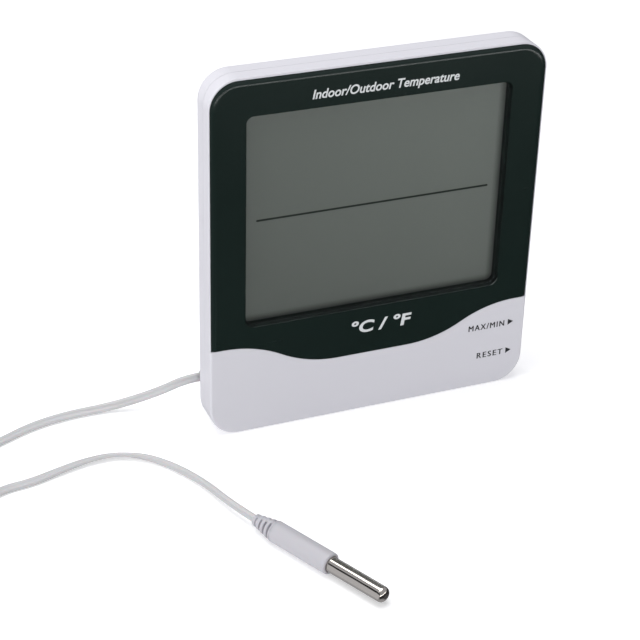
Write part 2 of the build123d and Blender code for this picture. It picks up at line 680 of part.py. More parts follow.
def make_switch(z):
    """Side-acting push switch on the back of the board, open for its plunger."""
    body = block(
        SWITCH_FACE_X - SWITCH_LENGTH,
        SWITCH_FACE_X,
        BOARD_BACK_Y,
        BOARD_BACK_Y + SWITCH_DEPTH,
        z - SWITCH_HEIGHT / 2,
        z + SWITCH_HEIGHT / 2,
    )
    depth = PLUNGER_SUNK + BUTTON_TRAVEL + 2 * GAP
    return body - plunger_box(z, SWITCH_FACE_X - depth, SWITCH_FACE_X + 1, GAP)


def plunger_box(z, x0, x1, margin):
    """The plunger's section, grown by margin, between two places along X."""
    half_y, half_z = PLUNGER_WIDTH / 2 + margin, PLUNGER_HEIGHT / 2 + margin
    return block(x0, x1, BUTTON_Y - half_y, BUTTON_Y + half_y, z - half_z, z + half_z)


def make_plunger(z):
    """Switch plunger, which the button pushes in."""
    return plunger_box(z, SWITCH_FACE_X - PLUNGER_SUNK, SWITCH_FACE_X + PLUNGER_PROUD, 0)


def display_layer(width, height, y_front, thickness):
    """One flat layer of the display stack."""
    return slab(Pos(0, WINDOW_Z) * Rectangle(width, height), y_front, y_front + thickness)


def strip_centre():
    """How far each rubber connector lies from the display's middle."""
    return GLASS_HEIGHT / 2 - CONTACT_LEDGE / 2


def make_display():
    """The display's layers from front to back, and its two rubber connectors."""
    y = DISPLAY_Y
    short = GLASS_HEIGHT - 2 * CONTACT_LEDGE
    nodes = {"lcd_front_polariser": display_layer(GLASS_WIDTH - 1, short, y, FILM_THICKNESS)}
    y += FILM_THICKNESS
    nodes["lcd_front_glass"] = display_layer(GLASS_WIDTH, GLASS_HEIGHT, y, GLASS_THICKNESS)
    y += GLASS_THICKNESS
    strip_front = y
    nodes["lcd_rear_glass"] = display_layer(GLASS_WIDTH, short, y, GLASS_THICKNESS)
    y += GLASS_THICKNESS
    nodes["lcd_reflector"] = display_layer(GLASS_WIDTH - 1, short - 1, y, FILM_THICKNESS)
    half = GLASS_WIDTH / 2 - STRIP_END
    for name, side in (("connector_strip_top", 1), ("connector_strip_bottom", -1)):
        z = WINDOW_Z + side * strip_centre()
        nodes[name] = block(
            -half, half, strip_front, BOARD_FRONT_Y, z - STRIP_THICKNESS / 2, z + STRIP_THICKNESS / 2
        )
    return nodes


def ear_places():
    """Where the display holder is screwed to the board."""
    return [(sx * EAR_X, WINDOW_Z + sz * EAR_SPREAD) for sx in (-1, 1) for sz in (-1, 1)]


def make_holder():
    """Plastic frame that keeps the display and its connectors on the board."""
    front = SEAT_BACK_Y + GAP
    ring = slab(Pos(0, WINDOW_Z) * Rectangle(HOLDER_WIDTH, HOLDER_HEIGHT), front, BOARD_FRONT_Y)
    inner_x, inner_z = GLASS_WIDTH + 2 * HOLDER_GAP, GLASS_HEIGHT + 2 * HOLDER_GAP
    ring -= slab(Pos(0, WINDOW_Z) * Rectangle(inner_x, inner_z), front - 1, BOARD_FRONT_Y + 1)
    rib_front = DISPLAY_Y + 2 * (FILM_THICKNESS + GLASS_THICKNESS) + GAP
    reach = inner_x / 2 + 0.5
    for side in (-1, 1):
        z = WINDOW_Z + side * (strip_centre() - STRIP_THICKNESS / 2 - GAP - RIB_THICKNESS / 2)
        ring += block(-reach, reach, rib_front, BOARD_FRONT_Y, z - RIB_THICKNESS / 2, z + RIB_THICKNESS / 2)
    for x, z in ear_places():
        outer = x + math.copysign(EAR_REACH, x)
        ring += block(
            min(x, outer), max(x, outer), front, BOARD_FRONT_Y, z - EAR_HEIGHT / 2, z + EAR_HEIGHT / 2
        )
    hole_end_y = BOARD_BACK_Y - BOARD_SCREW_LENGTH - 0.3
    for x, z in ear_places():
        ring -= post(x, z, BOARD_SCREW_RADIUS + 0.03, hole_end_y, BOARD_FRONT_Y + 1)
    return ring


def board_screw_places():
    """Every screw through the board: four into the display holder, two into the case."""
    return ear_places() + [(side * BOARD_SCREW_X, BOARD_SCREW_Z) for side in (-1, 1)]


def make_board():
    """Circuit board with its holes and the opening for the battery bay."""
    top = CASE_HEIGHT - BOARD_TOP
    outline = rounded(2 * BOARD_HALF, top - BOARD_BOTTOM, BOARD_CORNER, z=(top + BOARD_BOTTOM) / 2)
    board = slab(outline, BOARD_FRONT_Y, BOARD_BACK_Y)
    radius = REAR_BOSS_RADIUS + 0.4
    for side in (-1, 1):
        board -= post(side * CASE_SCREW_X, CASE_SCREW_Z, radius, BOARD_FRONT_Y - 1, BOARD_BACK_Y + 1)
    for x, z in board_screw_places():
        board -= post(x, z, BOARD_SCREW_RADIUS + 0.2, BOARD_FRONT_Y - 1, BOARD_BACK_Y + 1)
    half_x, half_z = BAY_LENGTH / 2 + BAY_WALL + 0.8, BAY_HALF_HEIGHT + BAY_WALL + 0.8
    board -= block(-half_x, half_x, BOARD_FRONT_Y - 1, BOARD_BACK_Y + 1, BAY_Z - half_z, BAY_Z + half_z)
    return board


def screw(x, z, seat_y, radius, length, head_radius, head_height):
    """Pan-head screw along Y with a cross recess, its head seated at seat_y."""
    shank = post(x, z, radius, seat_y - length, seat_y)
    head = post(x, z, head_radius, seat_y, seat_y + head_height)
    head = fillet(head.faces().sort_by(Axis.Y)[-1].edges(), 0.4 * head_height)
    top = seat_y + head_height
    arm, width = 0.65 * head_radius, 0.16 * head_radius
    cross = block(x - arm, x + arm, top - 0.5 * head_height, top + 1, z - width, z + width)
    cross += block(x - width, x + width, top - 0.5 * head_height, top + 1, z - arm, z + arm)
    return shank + head - cross


def make_screws():
    """The two groups of screws."""
    head = (CASE_SCREW_HEAD, CASE_SCREW_HEAD_HEIGHT)
    sizes = (CASE_SCREW_SEAT_Y, CASE_SCREW_RADIUS, CASE_SCREW_LENGTH, *head)
    case = [screw(side * CASE_SCREW_X, CASE_SCREW_Z, *sizes) for side in (-1, 1)]
    sizes = (BOARD_BACK_Y, BOARD_SCREW_RADIUS, BOARD_SCREW_LENGTH, BOARD_SCREW_HEAD, BOARD_SCREW_HEAD_HEIGHT)
    board = [screw(x, z, *sizes) for x, z in board_screw_places()]
    return {"case_screws": group(case), "board_screws": group(board)}


def chip_part(x, z, size):
    """A small rectangular part soldered to the back of the board."""
    width, depth, height = size
    back_y = BOARD_BACK_Y + depth
    return block(x - width / 2, x + width / 2, BOARD_BACK_Y, back_y, z - height / 2, z + height / 2)


def make_electronics():
    """Parts on the back of the board."""
    x, z = CHIP_PLACE
    dome = post(x, z, CHIP_RADIUS, BOARD_BACK_Y, BOARD_BACK_Y + CHIP_HEIGHT)
    dome = fillet(dome.faces().sort_by(Axis.Y)[-1].edges(), 0.8 * CHIP_HEIGHT)
    x, z = CRYSTAL_PLACE
    y = BOARD_BACK_Y + CRYSTAL_RADIUS
    can = rod((x, y, z - CRYSTAL_LENGTH / 2), (x, y, z + CRYSTAL_LENGTH / 2), CRYSTAL_RADIUS)
    x, z = SENSOR_PLACE
    y = BOARD_BACK_Y + 2.5
    leg = 0.25
    sensor = Pos(x, y, z) * Sphere(SENSOR_RADIUS)
    for side in (-0.5, 0.5):
        sensor += rod((x + side, BOARD_BACK_Y, z), (x + side, y, z), leg)
    return {
        "chip_cover": dome,
        "timing_crystal": can,
        "capacitors": group([chip_part(px, pz, CAPACITOR_SIZE) for px, pz in CAPACITOR_PLACES]),
        "resistors": group([chip_part(px, pz, RESISTOR_SIZE) for px, pz in RESISTOR_PLACES]),
        "indoor_sensor": sensor,
    }


def make_battery():
    """The cell, its end plate and its spring, along X in the bay."""
    plate_x = BAY_LENGTH / 2 - PLATE_THICKNESS
    cell_end = plate_x - GAP / 2
    cell_start = cell_end - CELL_LENGTH
    body_end = cell_end - CELL_NIPPLE
    cell = rod((cell_start, CELL_Y, BAY_Z), (body_end, CELL_Y, BAY_Z), CELL_RADIUS)
    cell = fillet(cell.edges().filter_by(GeomType.CIRCLE), 0.5)
    cell += rod((body_end - 0.1, CELL_Y, BAY_Z), (cell_end, CELL_Y, BAY_Z), CELL_NIPPLE_RADIUS)
    half_y, half_z = 3.5, 4.0
    plate = block(plate_x, BAY_LENGTH / 2, CELL_Y - half_y, CELL_Y + half_y, BAY_Z - half_z, BAY_Z + half_z)
    wall_x = -BAY_LENGTH / 2
    reach = cell_start - wall_x - 2 * SPRING_WIRE - GAP
    coil = Helix(
        pitch=reach / SPRING_TURNS,
        height=reach,
        radius=3.2,
        center=(wall_x + SPRING_WIRE + GAP / 2, CELL_Y, BAY_Z),
        direction=(1, 0, 0),
    )
    wire = sweep(Plane(origin=coil @ 0, z_dir=coil % 0) * Circle(SPRING_WIRE), path=coil, is_frenet=True)
    return {"battery_cell": cell, "battery_plate": plate, "battery_spring": wire}


def make_wires():
    """The battery's two insulated wires, from the bay's ends to the board."""
    start_x = BAY_LENGTH / 2 + BAY_WALL
    shift = start_x + 0.05 - WIRE_ROUTE[0][0]
    end_lift = BOARD_BACK_Y + WIRE_RADIUS - WIRE_ROUTE[-1][1]
    red = [(x + shift, y, z) for x, y, z in WIRE_ROUTE[:-1]]
    red.append((WIRE_ROUTE[-1][0] + shift, WIRE_ROUTE[-1][1] + end_lift, WIRE_ROUTE[-1][2]))
    black = [(-x, y, z) for x, y, z in red]
    return {"battery_wire_plus": tube(red, WIRE_RADIUS), "battery_wire_minus": tube(black, WIRE_RADIUS)}


def gland_ring(x_outer, x_inner, radius):
    """A round length of the gland between two places along X."""
    return rod((x_outer, GLAND_Y, GLAND_Z), (x_inner, GLAND_Y, GLAND_Z), radius)


def make_gland():
    """Tapered grommet that holds the lead in the side of the rear cover."""
    flange = GLAND_WALL_X - GLAND_SEAT
    inner = GLAND_WALL_X + WALL + GLAND_SEAT
    gland = gland_ring(flange - GLAND_FLANGE, inner + GLAND_FLANGE, GLAND_HOLE_RADIUS - 0.03)
    gland += gland_ring(flange - GLAND_FLANGE, flange, GLAND_FLANGE_RADIUS)
    gland += gland_ring(inner, inner + GLAND_FLANGE, GLAND_BARB_RADIUS)
    plane = Plane(origin=(flange - GLAND_FLANGE, GLAND_Y, GLAND_Z), z_dir=(-1, 0, 0))
    root_radius = GLAND_HOLE_RADIUS + 0.4
    upward = (Align.CENTER, Align.CENTER, Align.MIN)
    gland += plane * Cone(root_radius, GLAND_NOSE_RADIUS, GLAND_NOSE, align=upward)
    return gland - gland_ring(GLAND_TIP_X - 1, inner + GLAND_FLANGE + 1, CORD_RADIUS + BORE_CLEARANCE)


def make_inner_lead():
    """The lead's end inside the case, from the back of the board through the gland."""
    board_y = BOARD_BACK_Y + CORD_RADIUS
    route = [
        (GLAND_WALL_X + 24, board_y, GLAND_Z),
        (GLAND_WALL_X + 17, board_y, GLAND_Z),
        (GLAND_WALL_X + 9.5, GLAND_Y, GLAND_Z),
        (GLAND_TIP_X, GLAND_Y, GLAND_Z),
    ]
    return tube(route, CORD_RADIUS)


def make_coil():
    """Outer form of the lead's put-away coil."""
    outer, inner = COIL_MEAN_RADIUS + COIL_BUNDLE / 2, COIL_MEAN_RADIUS - COIL_BUNDLE / 2
    ring = Cylinder(outer, COIL_HEIGHT) - Cylinder(inner, COIL_HEIGHT)
    ring = fillet(ring.edges().filter_by(GeomType.CIRCLE), 1.2)
    return Pos(GLAND_TIP_X + COIL_CENTRE[0], COIL_CENTRE[1], COIL_LIFT + COIL_HEIGHT / 2) * ring


def make_tie():
    """Plastic strap round the coil's bundle, on its far side, with a small lock."""
    x, y = GLAND_TIP_X + COIL_CENTRE[0] - COIL_MEAN_RADIUS, COIL_CENTRE[1]
    width, height = COIL_BUNDLE + 2 * GAP, COIL_HEIGHT + 2 * GAP
    middle = (x, y - TIE_WIDTH / 2, COIL_LIFT + COIL_HEIGHT / 2)
    plane = Plane(origin=middle, x_dir=(1, 0, 0), z_dir=(0, 1, 0))
    outer = RectangleRounded(width + 2 * TIE_THICKNESS, height + 2 * TIE_THICKNESS, 1.8)
    band = extrude(plane * (outer - RectangleRounded(width, height, 1.3)), amount=TIE_WIDTH)
    lock_z = COIL_LIFT + COIL_HEIGHT + GAP + TIE_THICKNESS / 2
    lock = block(x - 2.4, x + 2.4, y - 2.2, y + 2.2, lock_z, lock_z + 2.4)
    return band + lock


def probe_plane():
    """Plane at the probe's start, with its Z along the probe and its X level."""
    dx, dy = PROBE_DIRECTION
    origin = probe_point(0)
    return Plane(origin=origin, x_dir=(-dy, dx, 0), z_dir=(dx, dy, 0))


def along_probe(shape, start):
    """A shape made along +Z, placed that far along the probe."""
    return probe_plane() * (Pos(0, 0, start) * shape)


def make_probe():
    """Moulded grip with a slotted relief, metal sheath, sensor bead and filling."""
    up = (Align.CENTER, Align.CENTER, Align.MIN)
    relief = Cone(GRIP_NOSE_RADIUS, GRIP_RADIUS, RELIEF_LENGTH, align=up)
    barrel = Cylinder(GRIP_RADIUS, GRIP_LENGTH - RELIEF_LENGTH, align=up)
    barrel = fillet(barrel.edges().filter_by(GeomType.CIRCLE).group_by(Axis.Z)[-1], 0.6)
    grip = relief + Pos(0, 0, RELIEF_LENGTH) * barrel
    for n in range(RELIEF_SLOTS):
        z = RELIEF_LENGTH - 0.6 - n * RELIEF_PITCH
        for side in (-1, 1):
            cut = Box(
                GRIP_RADIUS, 2.6, RELIEF_SLOT, align=(Align.MIN, Align.CENTER, Align.CENTER)
            )
            grip -= Rot(0, 0, 90 - 90 * side) * (Pos(RELIEF_CORE, 0, z) * cut)
    sunk = GRIP_LENGTH - SHEATH_SUNK
    grip -= Pos(0, 0, sunk) * Cylinder(SHEATH_RADIUS, SHEATH_SUNK, align=up)
    grip -= Cylinder(CORD_RADIUS + BORE_CLEARANCE, RELIEF_LENGTH + 2, align=up)
    length = SHEATH_SUNK + SHEATH_SHOWN
    sheath = Cylinder(SHEATH_RADIUS, length, align=up)
    sheath = fillet(sheath.edges().filter_by(GeomType.CIRCLE).group_by(Axis.Z)[-1], SHEATH_RADIUS - 0.75)
    bore_radius = SHEATH_RADIUS - SHEATH_WALL
    bore = Cylinder(bore_radius, length - 1.2, align=up)
    bead_z = length - 1.2 - BEAD_RADIUS - 0.5
    bead = Pos(0, 0, bead_z) * Sphere(BEAD_RADIUS)
    filling = Cylinder(bore_radius - 0.02, length - 1.4, align=up) - bead
    return {
        "probe_grip": along_probe(grip, 0),
        "probe_sheath": along_probe(sheath - bore, sunk),
        "probe_bead": along_probe(bead, sunk),
        "probe_filling": along_probe(filling, sunk),
    }


def probe_point(reach):
    """A point on the probe's axis, that far along it from the relief's end."""
    dx, dy = PROBE_DIRECTION
    return (GLAND_TIP_X + PROBE_START[0] + dx * reach, PROBE_START[1] + dy * reach, GRIP_RADIUS)


def lead_routes():
    """The lead's two free stretches, the second one running on into the grip."""
    out, back = ([(GLAND_TIP_X + x, y, z) for x, y, z in route] for route in (LEAD_OUT, LEAD_BACK))
    into_grip = [probe_point(-PROBE_STRAIGHT), probe_point(RELIEF_LENGTH + 1.5)]
    return {"lead_out": out, "lead_back": back + into_grip}


def make_lead():
    """The lead outside the case, its coil and its tie."""
    nodes = {name: tube(route, CORD_RADIUS) for name, route in lead_routes().items()}
    return {**nodes, "lead_coil": make_coil(), "lead_tie": make_tie()}


def build():
    """Every node of the thermometer, by name."""
    unit_body, unit_slider = make_unit_switch()
    nodes = {
        "front_case": make_front_case(),
        "rear_case": make_rear_case(),
        "bezel": make_bezel(),
        "window_lens": make_lens(),
        "lcd_holder": make_holder(),
        "circuit_board": make_board(),
        "push_switches": group([make_switch(z) for z in BUTTON_Z.values()]),
        "unit_switch_body": unit_body,
        "unit_switch_slider": unit_slider,
        "battery_door": make_battery_door(),
        "stand_leg": make_stand(),
        "lead_gland": make_gland(),
        "lead_inner": make_inner_lead(),
    }
    for name, z in BUTTON_Z.items():
        nodes[name] = make_button(z)
        nodes[name.replace("button", "plunger")] = make_plunger(z)
    makers = (make_display, make_screws, make_electronics, make_battery, make_wires, make_lead, make_probe)
    for make in makers:
        nodes.update(make())
    return nodes


os.makedirs("parts", exist_ok=True)
for node, shape in build().items():
    export_step(shape, f"parts/{node}.step")
for lead, route in lead_routes().items():
    print(lead, "radii", [round(r, 1) for r in bend_radii(route)])
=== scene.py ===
"""Visual model of a desk thermometer with a large display and a metal-tipped probe on a flat twin lead.

Lengths are in millimetres inside the classes and are turned into metres as each mesh is made.
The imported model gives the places; +X is the viewer's right, +Y the back, +Z up.
"""

import logging
import math
from dataclasses import dataclass
from enum import Enum
from typing import Any, Iterable, Sequence

import bpy
import numpy as np
from mathutils import Matrix, Vector


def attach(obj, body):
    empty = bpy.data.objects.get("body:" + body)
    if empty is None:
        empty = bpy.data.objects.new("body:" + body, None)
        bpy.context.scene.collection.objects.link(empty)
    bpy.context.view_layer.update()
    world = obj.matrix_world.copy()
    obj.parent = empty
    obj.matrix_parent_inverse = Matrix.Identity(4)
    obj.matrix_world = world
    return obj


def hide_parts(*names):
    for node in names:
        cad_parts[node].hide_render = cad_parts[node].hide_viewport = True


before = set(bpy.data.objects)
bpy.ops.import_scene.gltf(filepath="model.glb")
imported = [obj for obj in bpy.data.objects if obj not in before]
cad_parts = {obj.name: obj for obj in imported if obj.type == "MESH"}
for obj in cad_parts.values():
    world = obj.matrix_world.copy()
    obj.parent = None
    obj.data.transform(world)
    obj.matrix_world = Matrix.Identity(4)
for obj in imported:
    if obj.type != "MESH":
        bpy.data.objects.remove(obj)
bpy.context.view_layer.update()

LOG = logging.getLogger("thermometer")
MM = 0.001
SCUFF_ROUGHNESS = 0.3  # what a full scuff adds
DUST_ROUGHNESS = 0.4  # what full dust adds
BUMP_DEPTH = 0.2
PROBE_HEADING = (0.4211, -0.9070)
PROBE_ANGLE = math.atan2(PROBE_HEADING[1], PROBE_HEADING[0])
CAPITAL_SHARE = 0.73  # a capital's height in a line of lettering of size 1

Triple = tuple[float, float, float]
Points = Sequence[Sequence[float]]
Faces = list[tuple[int, ...]]
Loop = list[tuple[float, float]]
Angles = tuple[tuple[float, float], ...]


class Align(Enum):
    """Which end of a line of lettering its place gives."""

    LEFT = "LEFT"
    CENTRE = "CENTER"
    RIGHT = "RIGHT"


class Facing(Enum):
    """Which way lettering on the case reads from."""

    FRONT = "front"
    BACK = "back"


class Wiring:
    """Adds nodes to one tree and joins them, with sockets given by name or number."""

    def __init__(self, tree: bpy.types.NodeTree) -> None:
        """Keeps the shader or geometry tree to fill."""
        self.tree = tree

    def add(self, kind: str, inputs: dict[Any, Any] | None = None, **settings: Any) -> bpy.types.Node:
        """Adds one node.

        Args:
            kind: the node's type name.
            inputs: a value or an output socket for each input, by name or number.
            settings: the node's own properties.

        Returns:
            The new node.
        """
        node = self.tree.nodes.new(kind)
        for name, value in settings.items():
            setattr(node, name, value)
        for key, value in (inputs or {}).items():
            socket = node.inputs[key]
            if isinstance(value, bpy.types.NodeSocket):
                self.tree.links.new(value, socket)
            else:
                socket.default_value = value
        return node

    def math(self, operation: str, *values: Any) -> bpy.types.NodeSocket:
        """Adds a Math node and returns its result."""
        return self.add("ShaderNodeMath", dict(enumerate(values)), operation=operation).outputs[0]

    def place(self) -> bpy.types.NodeSocket:
        """The place on the surface, in the piece's own coordinates."""
        return self.add("ShaderNodeTexCoord").outputs["Object"]

    def split(self, vector: bpy.types.NodeSocket) -> Sequence[bpy.types.NodeSocket]:
        """The vector's three parts."""
        return self.add("ShaderNodeSeparateXYZ", {0: vector}).outputs

    def noise(
        self, vector: Any, scale: Any, detail: float = 2.0, rough: float = 0.5
    ) -> bpy.types.NodeSocket:
        """Adds a Noise Texture and returns its value, from 0 to 1."""
        inputs = {"Vector": vector, "Scale": scale, "Detail": detail, "Roughness": rough}
        return self.add("ShaderNodeTexNoise", inputs).outputs[0]

    def blend(self, share: Any, first: Any, second: Any) -> bpy.types.NodeSocket:
        """Mixes two colours by share, which is 1 for the second one."""
        node = self.add("ShaderNodeMix", {0: share, 6: first, 7: second}, data_type="RGBA")
        return node.outputs[2]

    def remap(
        self, value: Any, low: float, high: float, out_low: Any, out_high: Any
    ) -> bpy.types.NodeSocket:
        """Maps low to out_low and high to out_high, clamped."""
        inputs = {0: value, 1: low, 2: high, 3: out_low, 4: out_high}
        return self.add("ShaderNodeMapRange", inputs).outputs[0]


def effect_group(
    name: str, inputs: dict[str, Any], outputs: Iterable[str]
) -> tuple[Wiring, bpy.types.Node, bpy.types.Node]:
    """Starts a shader node group with named sockets.

    Args:
        name: the group's name.
        inputs: each input's name and default; a default of three numbers makes a colour.
        outputs: each output's name; a name that ends in Colour makes a colour.

    Returns:
        The group's wiring, its input node and its output node.
    """
    tree = bpy.data.node_groups.new(name, "ShaderNodeTree")
    for label, value in inputs.items():
        is_colour = isinstance(value, tuple)
        kind = "NodeSocketColor" if is_colour else "NodeSocketFloat"
        socket = tree.interface.new_socket(label, in_out="INPUT", socket_type=kind)
        socket.default_value = (*value, 1.0) if is_colour else value
    for label in outputs:
        kind = "NodeSocketColor" if label.endswith("Colour") else "NodeSocketFloat"
        tree.interface.new_socket(label, in_out="OUTPUT", socket_type=kind)
    wiring = Wiring(tree)
    return wiring, wiring.add("NodeGroupInput"), wiring.add("NodeGroupOutput")


class Effects:
    """The surface effects that the finishes share, each one a shader node group built once."""

    def __init__(self) -> None:
        """Builds every group."""
        self.grain = self._grain()
        self.drift = self._drift()
        self.scuffs = self._scuffs()
        self.dust = self._dust()

    @staticmethod
    def _grain() -> bpy.types.NodeTree:
        """Fine moulded texture: a height, and a roughness that varies with it."""
        inputs = {"Scale": 900.0, "Depth": 0.5, "Roughness": 0.4, "Spread": 0.05}
        w, given, out = effect_group("moulded_grain", inputs, ["Height", "Roughness"])
        place = w.place()
        fine = w.noise(place, given.outputs["Scale"], 3.0, 0.6)
        broad = w.noise(place, w.math("MULTIPLY", given.outputs["Scale"], 0.04), 2.0)
        height = w.math("ADD", fine, w.math("MULTIPLY", broad, 0.6))
        w.tree.links.new(w.math("MULTIPLY", height, given.outputs["Depth"]), out.inputs["Height"])
        both = w.math("ADD", w.math("MULTIPLY", fine, 0.4), w.math("MULTIPLY", broad, 0.6))
        lean = w.math("SUBTRACT", both, 0.5)
        varied = w.math("MULTIPLY_ADD", lean, given.outputs["Spread"], given.outputs["Roughness"])
        w.tree.links.new(varied, out.inputs["Roughness"])
        return w.tree

    @staticmethod
    def _drift() -> bpy.types.NodeTree:
        """Slow change of tone over a surface."""
        inputs = {"Base Colour": (0.8, 0.8, 0.8), "Amount": 0.03, "Scale": 20.0}
        w, given, out = effect_group("tone_drift", inputs, ["Colour"])
        place = w.place()
        cloud = w.noise(place, given.outputs["Scale"], 3.0, 0.55)
        lean = w.math("MULTIPLY", w.math("SUBTRACT", cloud, 0.5), given.outputs["Amount"])
        value = w.math("MULTIPLY_ADD", lean, 2.0, 1.0)
        shade = w.add("ShaderNodeHueSaturation", {"Value": value, "Color": given.outputs["Base Colour"]})
        w.tree.links.new(shade.outputs[0], out.inputs["Colour"])
        return w.tree

    @staticmethod
    def _scuffs() -> bpy.types.NodeTree:
        """Hair-fine scratches in two directions, as a mask."""
        w, given, out = effect_group("hair_scuffs", {"Scale": 60.0, "Amount": 0.3}, ["Mask"])
        place = w.place()
        masks = []
        for turn, stretch in ((0.6, 26.0), (-0.9, 34.0)):
            inputs = {"Vector": place, "Rotation": (turn, turn * 0.7, turn)}
            inputs["Scale"] = (1.0, stretch, stretch)
            laid = w.add("ShaderNodeMapping", inputs).outputs[0]
            masks.append(w.remap(w.noise(laid, given.outputs["Scale"], 2.0), 0.66, 0.74, 0.0, 1.0))
        both = w.math("MULTIPLY", w.math("MAXIMUM", *masks), given.outputs["Amount"])
        w.tree.links.new(both, out.inputs["Mask"])
        return w.tree

    @staticmethod
    def _dust() -> bpy.types.NodeTree:
        """Thin dust that settles on what faces up."""
        inputs = {"Base Colour": (0.5, 0.5, 0.5), "Dust Tint": (0.62, 0.6, 0.56), "Amount": 0.1}
        w, given, out = effect_group("settled_dust", inputs, ["Colour", "Mask"])
        place = w.place()
        normal = w.split(w.add("ShaderNodeNewGeometry").outputs["Normal"])
        upward = w.remap(normal[2], 0.35, 1.0, 0.0, 1.0)
        speckle = w.remap(w.noise(place, 700.0, 4.0, 0.7), 0.45, 0.75, 0.2, 1.0)
        mask = w.math("MULTIPLY", w.math("MULTIPLY", upward, speckle), given.outputs["Amount"])
        w.tree.links.new(mask, out.inputs["Mask"])
        tinted = w.blend(mask, given.outputs["Base Colour"], given.outputs["Dust Tint"])
        w.tree.links.new(tinted, out.inputs["Colour"])
        return w.tree


EFFECTS = Effects()


@dataclass(frozen=True)
class Finish:
    """A moulded or cast surface: tone, gloss, fine grain, scuffs and a little dust."""

    name: str
    colour: Triple
    roughness: float = 0.4
    spread: float = 0.08
    metallic: float = 0.0
    specular: float = 0.5
    coat: float = 0.0
    grain_scale: float = 1400.0
    grain_depth: float = 0.10
    drift: float = 0.02
    drift_scale: float = 28.0
    scuffs: float = 0.15
    scuff_scale: float = 40.0
    dust: float = 0.05
    subsurface: float = 0.0

    def group(self, w: Wiring, tree: bpy.types.NodeTree, **values: Any) -> bpy.types.Node:
        """Places one shared effect with this material's own values."""
        node = w.add("ShaderNodeGroup", node_tree=tree)
        for key, value in values.items():
            socket = node.inputs[key.replace("_", " ")]
            if isinstance(value, bpy.types.NodeSocket):
                w.tree.links.new(value, socket)
            else:
                socket.default_value = (*value, 1.0) if isinstance(value, tuple) else value
        return node

    def paint(self, w: Wiring) -> bpy.types.NodeSocket:
        """The colour under the dust. Kinds of finish with a pattern replace this."""
        return self.toned(w)

    def toned(self, w: Wiring) -> bpy.types.NodeSocket:
        """The finish's own colour with its slow change of tone."""
        values = {"Base_Colour": self.colour, "Amount": self.drift, "Scale": self.drift_scale}
        return self.group(w, EFFECTS.drift, **values).outputs["Colour"]

    def relief(self, w: Wiring, height: bpy.types.NodeSocket) -> bpy.types.NodeSocket:
        """The bump height. Kinds of finish with a pattern add to it."""
        return height

    def texture(self, w: Wiring) -> tuple[bpy.types.Node, bpy.types.Node]:
        """Places the grain and the scuffs with this finish's values."""
        grain = self.group(
            w,
            EFFECTS.grain,
            Scale=self.grain_scale,
            Depth=self.grain_depth,
            Roughness=self.roughness,
            Spread=self.spread,
        )
        scuffs = self.group(w, EFFECTS.scuffs, Scale=self.scuff_scale, Amount=self.scuffs)
        return grain, scuffs

    def material(self) -> bpy.types.Material:
        """Builds the material, or returns the one already built."""
        if self.name in bpy.data.materials:
            return bpy.data.materials[self.name]
        made = bpy.data.materials.new(self.name)
        made.use_nodes = True
        self.wire(Wiring(made.node_tree))
        return made

    def wire(self, w: Wiring) -> None:
        """Joins the material's nodes."""
        shader = w.tree.nodes["Principled BSDF"]
        dust = self.group(w, EFFECTS.dust, Base_Colour=self.paint(w), Amount=self.dust)
        grain, scuffs = self.texture(w)
        rough = w.math(
            "MULTIPLY_ADD", scuffs.outputs["Mask"], SCUFF_ROUGHNESS, grain.outputs["Roughness"]
        )
        rough = w.math("MULTIPLY_ADD", dust.outputs["Mask"], DUST_ROUGHNESS, rough)
        bump = w.add("ShaderNodeBump", {"Strength": 0.25, "Distance": BUMP_DEPTH * MM})
        w.tree.links.new(self.relief(w, grain.outputs["Height"]), bump.inputs["Height"])
        w.tree.links.new(dust.outputs["Colour"], shader.inputs["Base Color"])
        w.tree.links.new(rough, shader.inputs["Roughness"])
        w.tree.links.new(bump.outputs[0], shader.inputs["Normal"])
        values = {"Metallic": self.metallic, "Specular IOR Level": self.specular, "Coat Weight": self.coat}
        values |= {"Subsurface Weight": self.subsurface, "Subsurface Scale": MM}
        for label, value in values.items():
            shader.inputs[label].default_value = value

    def dress(self, piece: bpy.types.Object) -> None:
        """Gives the finish to every slot of a piece."""
        piece.data.materials.clear()
        piece.data.materials.append(self.material())
        for polygon in piece.data.polygons:
            polygon.material_index = 0


@dataclass(frozen=True)
class ClearPane(Finish):
    """Thin clear acrylic: it lets light through and adds a soft reflection."""

    reflection: float = 0.6
    refraction: float = 1.45
    scuff_roughness: float = 0.2

    def wire(self, w: Wiring) -> None:
        """Joins the see-through material's nodes."""
        w.tree.nodes.remove(w.tree.nodes["Principled BSDF"])
        grain, scuffs = self.texture(w)
        rough = w.math(
            "MULTIPLY_ADD", scuffs.outputs["Mask"], self.scuff_roughness, grain.outputs["Roughness"]
        )
        through = w.add("ShaderNodeBsdfTransparent", {"Color": (*self.colour, 1.0)})
        gloss = w.add("ShaderNodeBsdfGlossy", {"Color": (1.0, 1.0, 1.0, 1.0), "Roughness": rough})
        fresnel = w.add("ShaderNodeFresnel", {"IOR": self.refraction}).outputs[0]
        share = w.math("MULTIPLY", fresnel, self.reflection)
        mixed = w.add("ShaderNodeMixShader", {0: share, 1: through.outputs[0], 2: gloss.outputs[0]})
        w.tree.links.new(mixed.outputs[0], w.tree.nodes["Material Output"].inputs["Surface"])


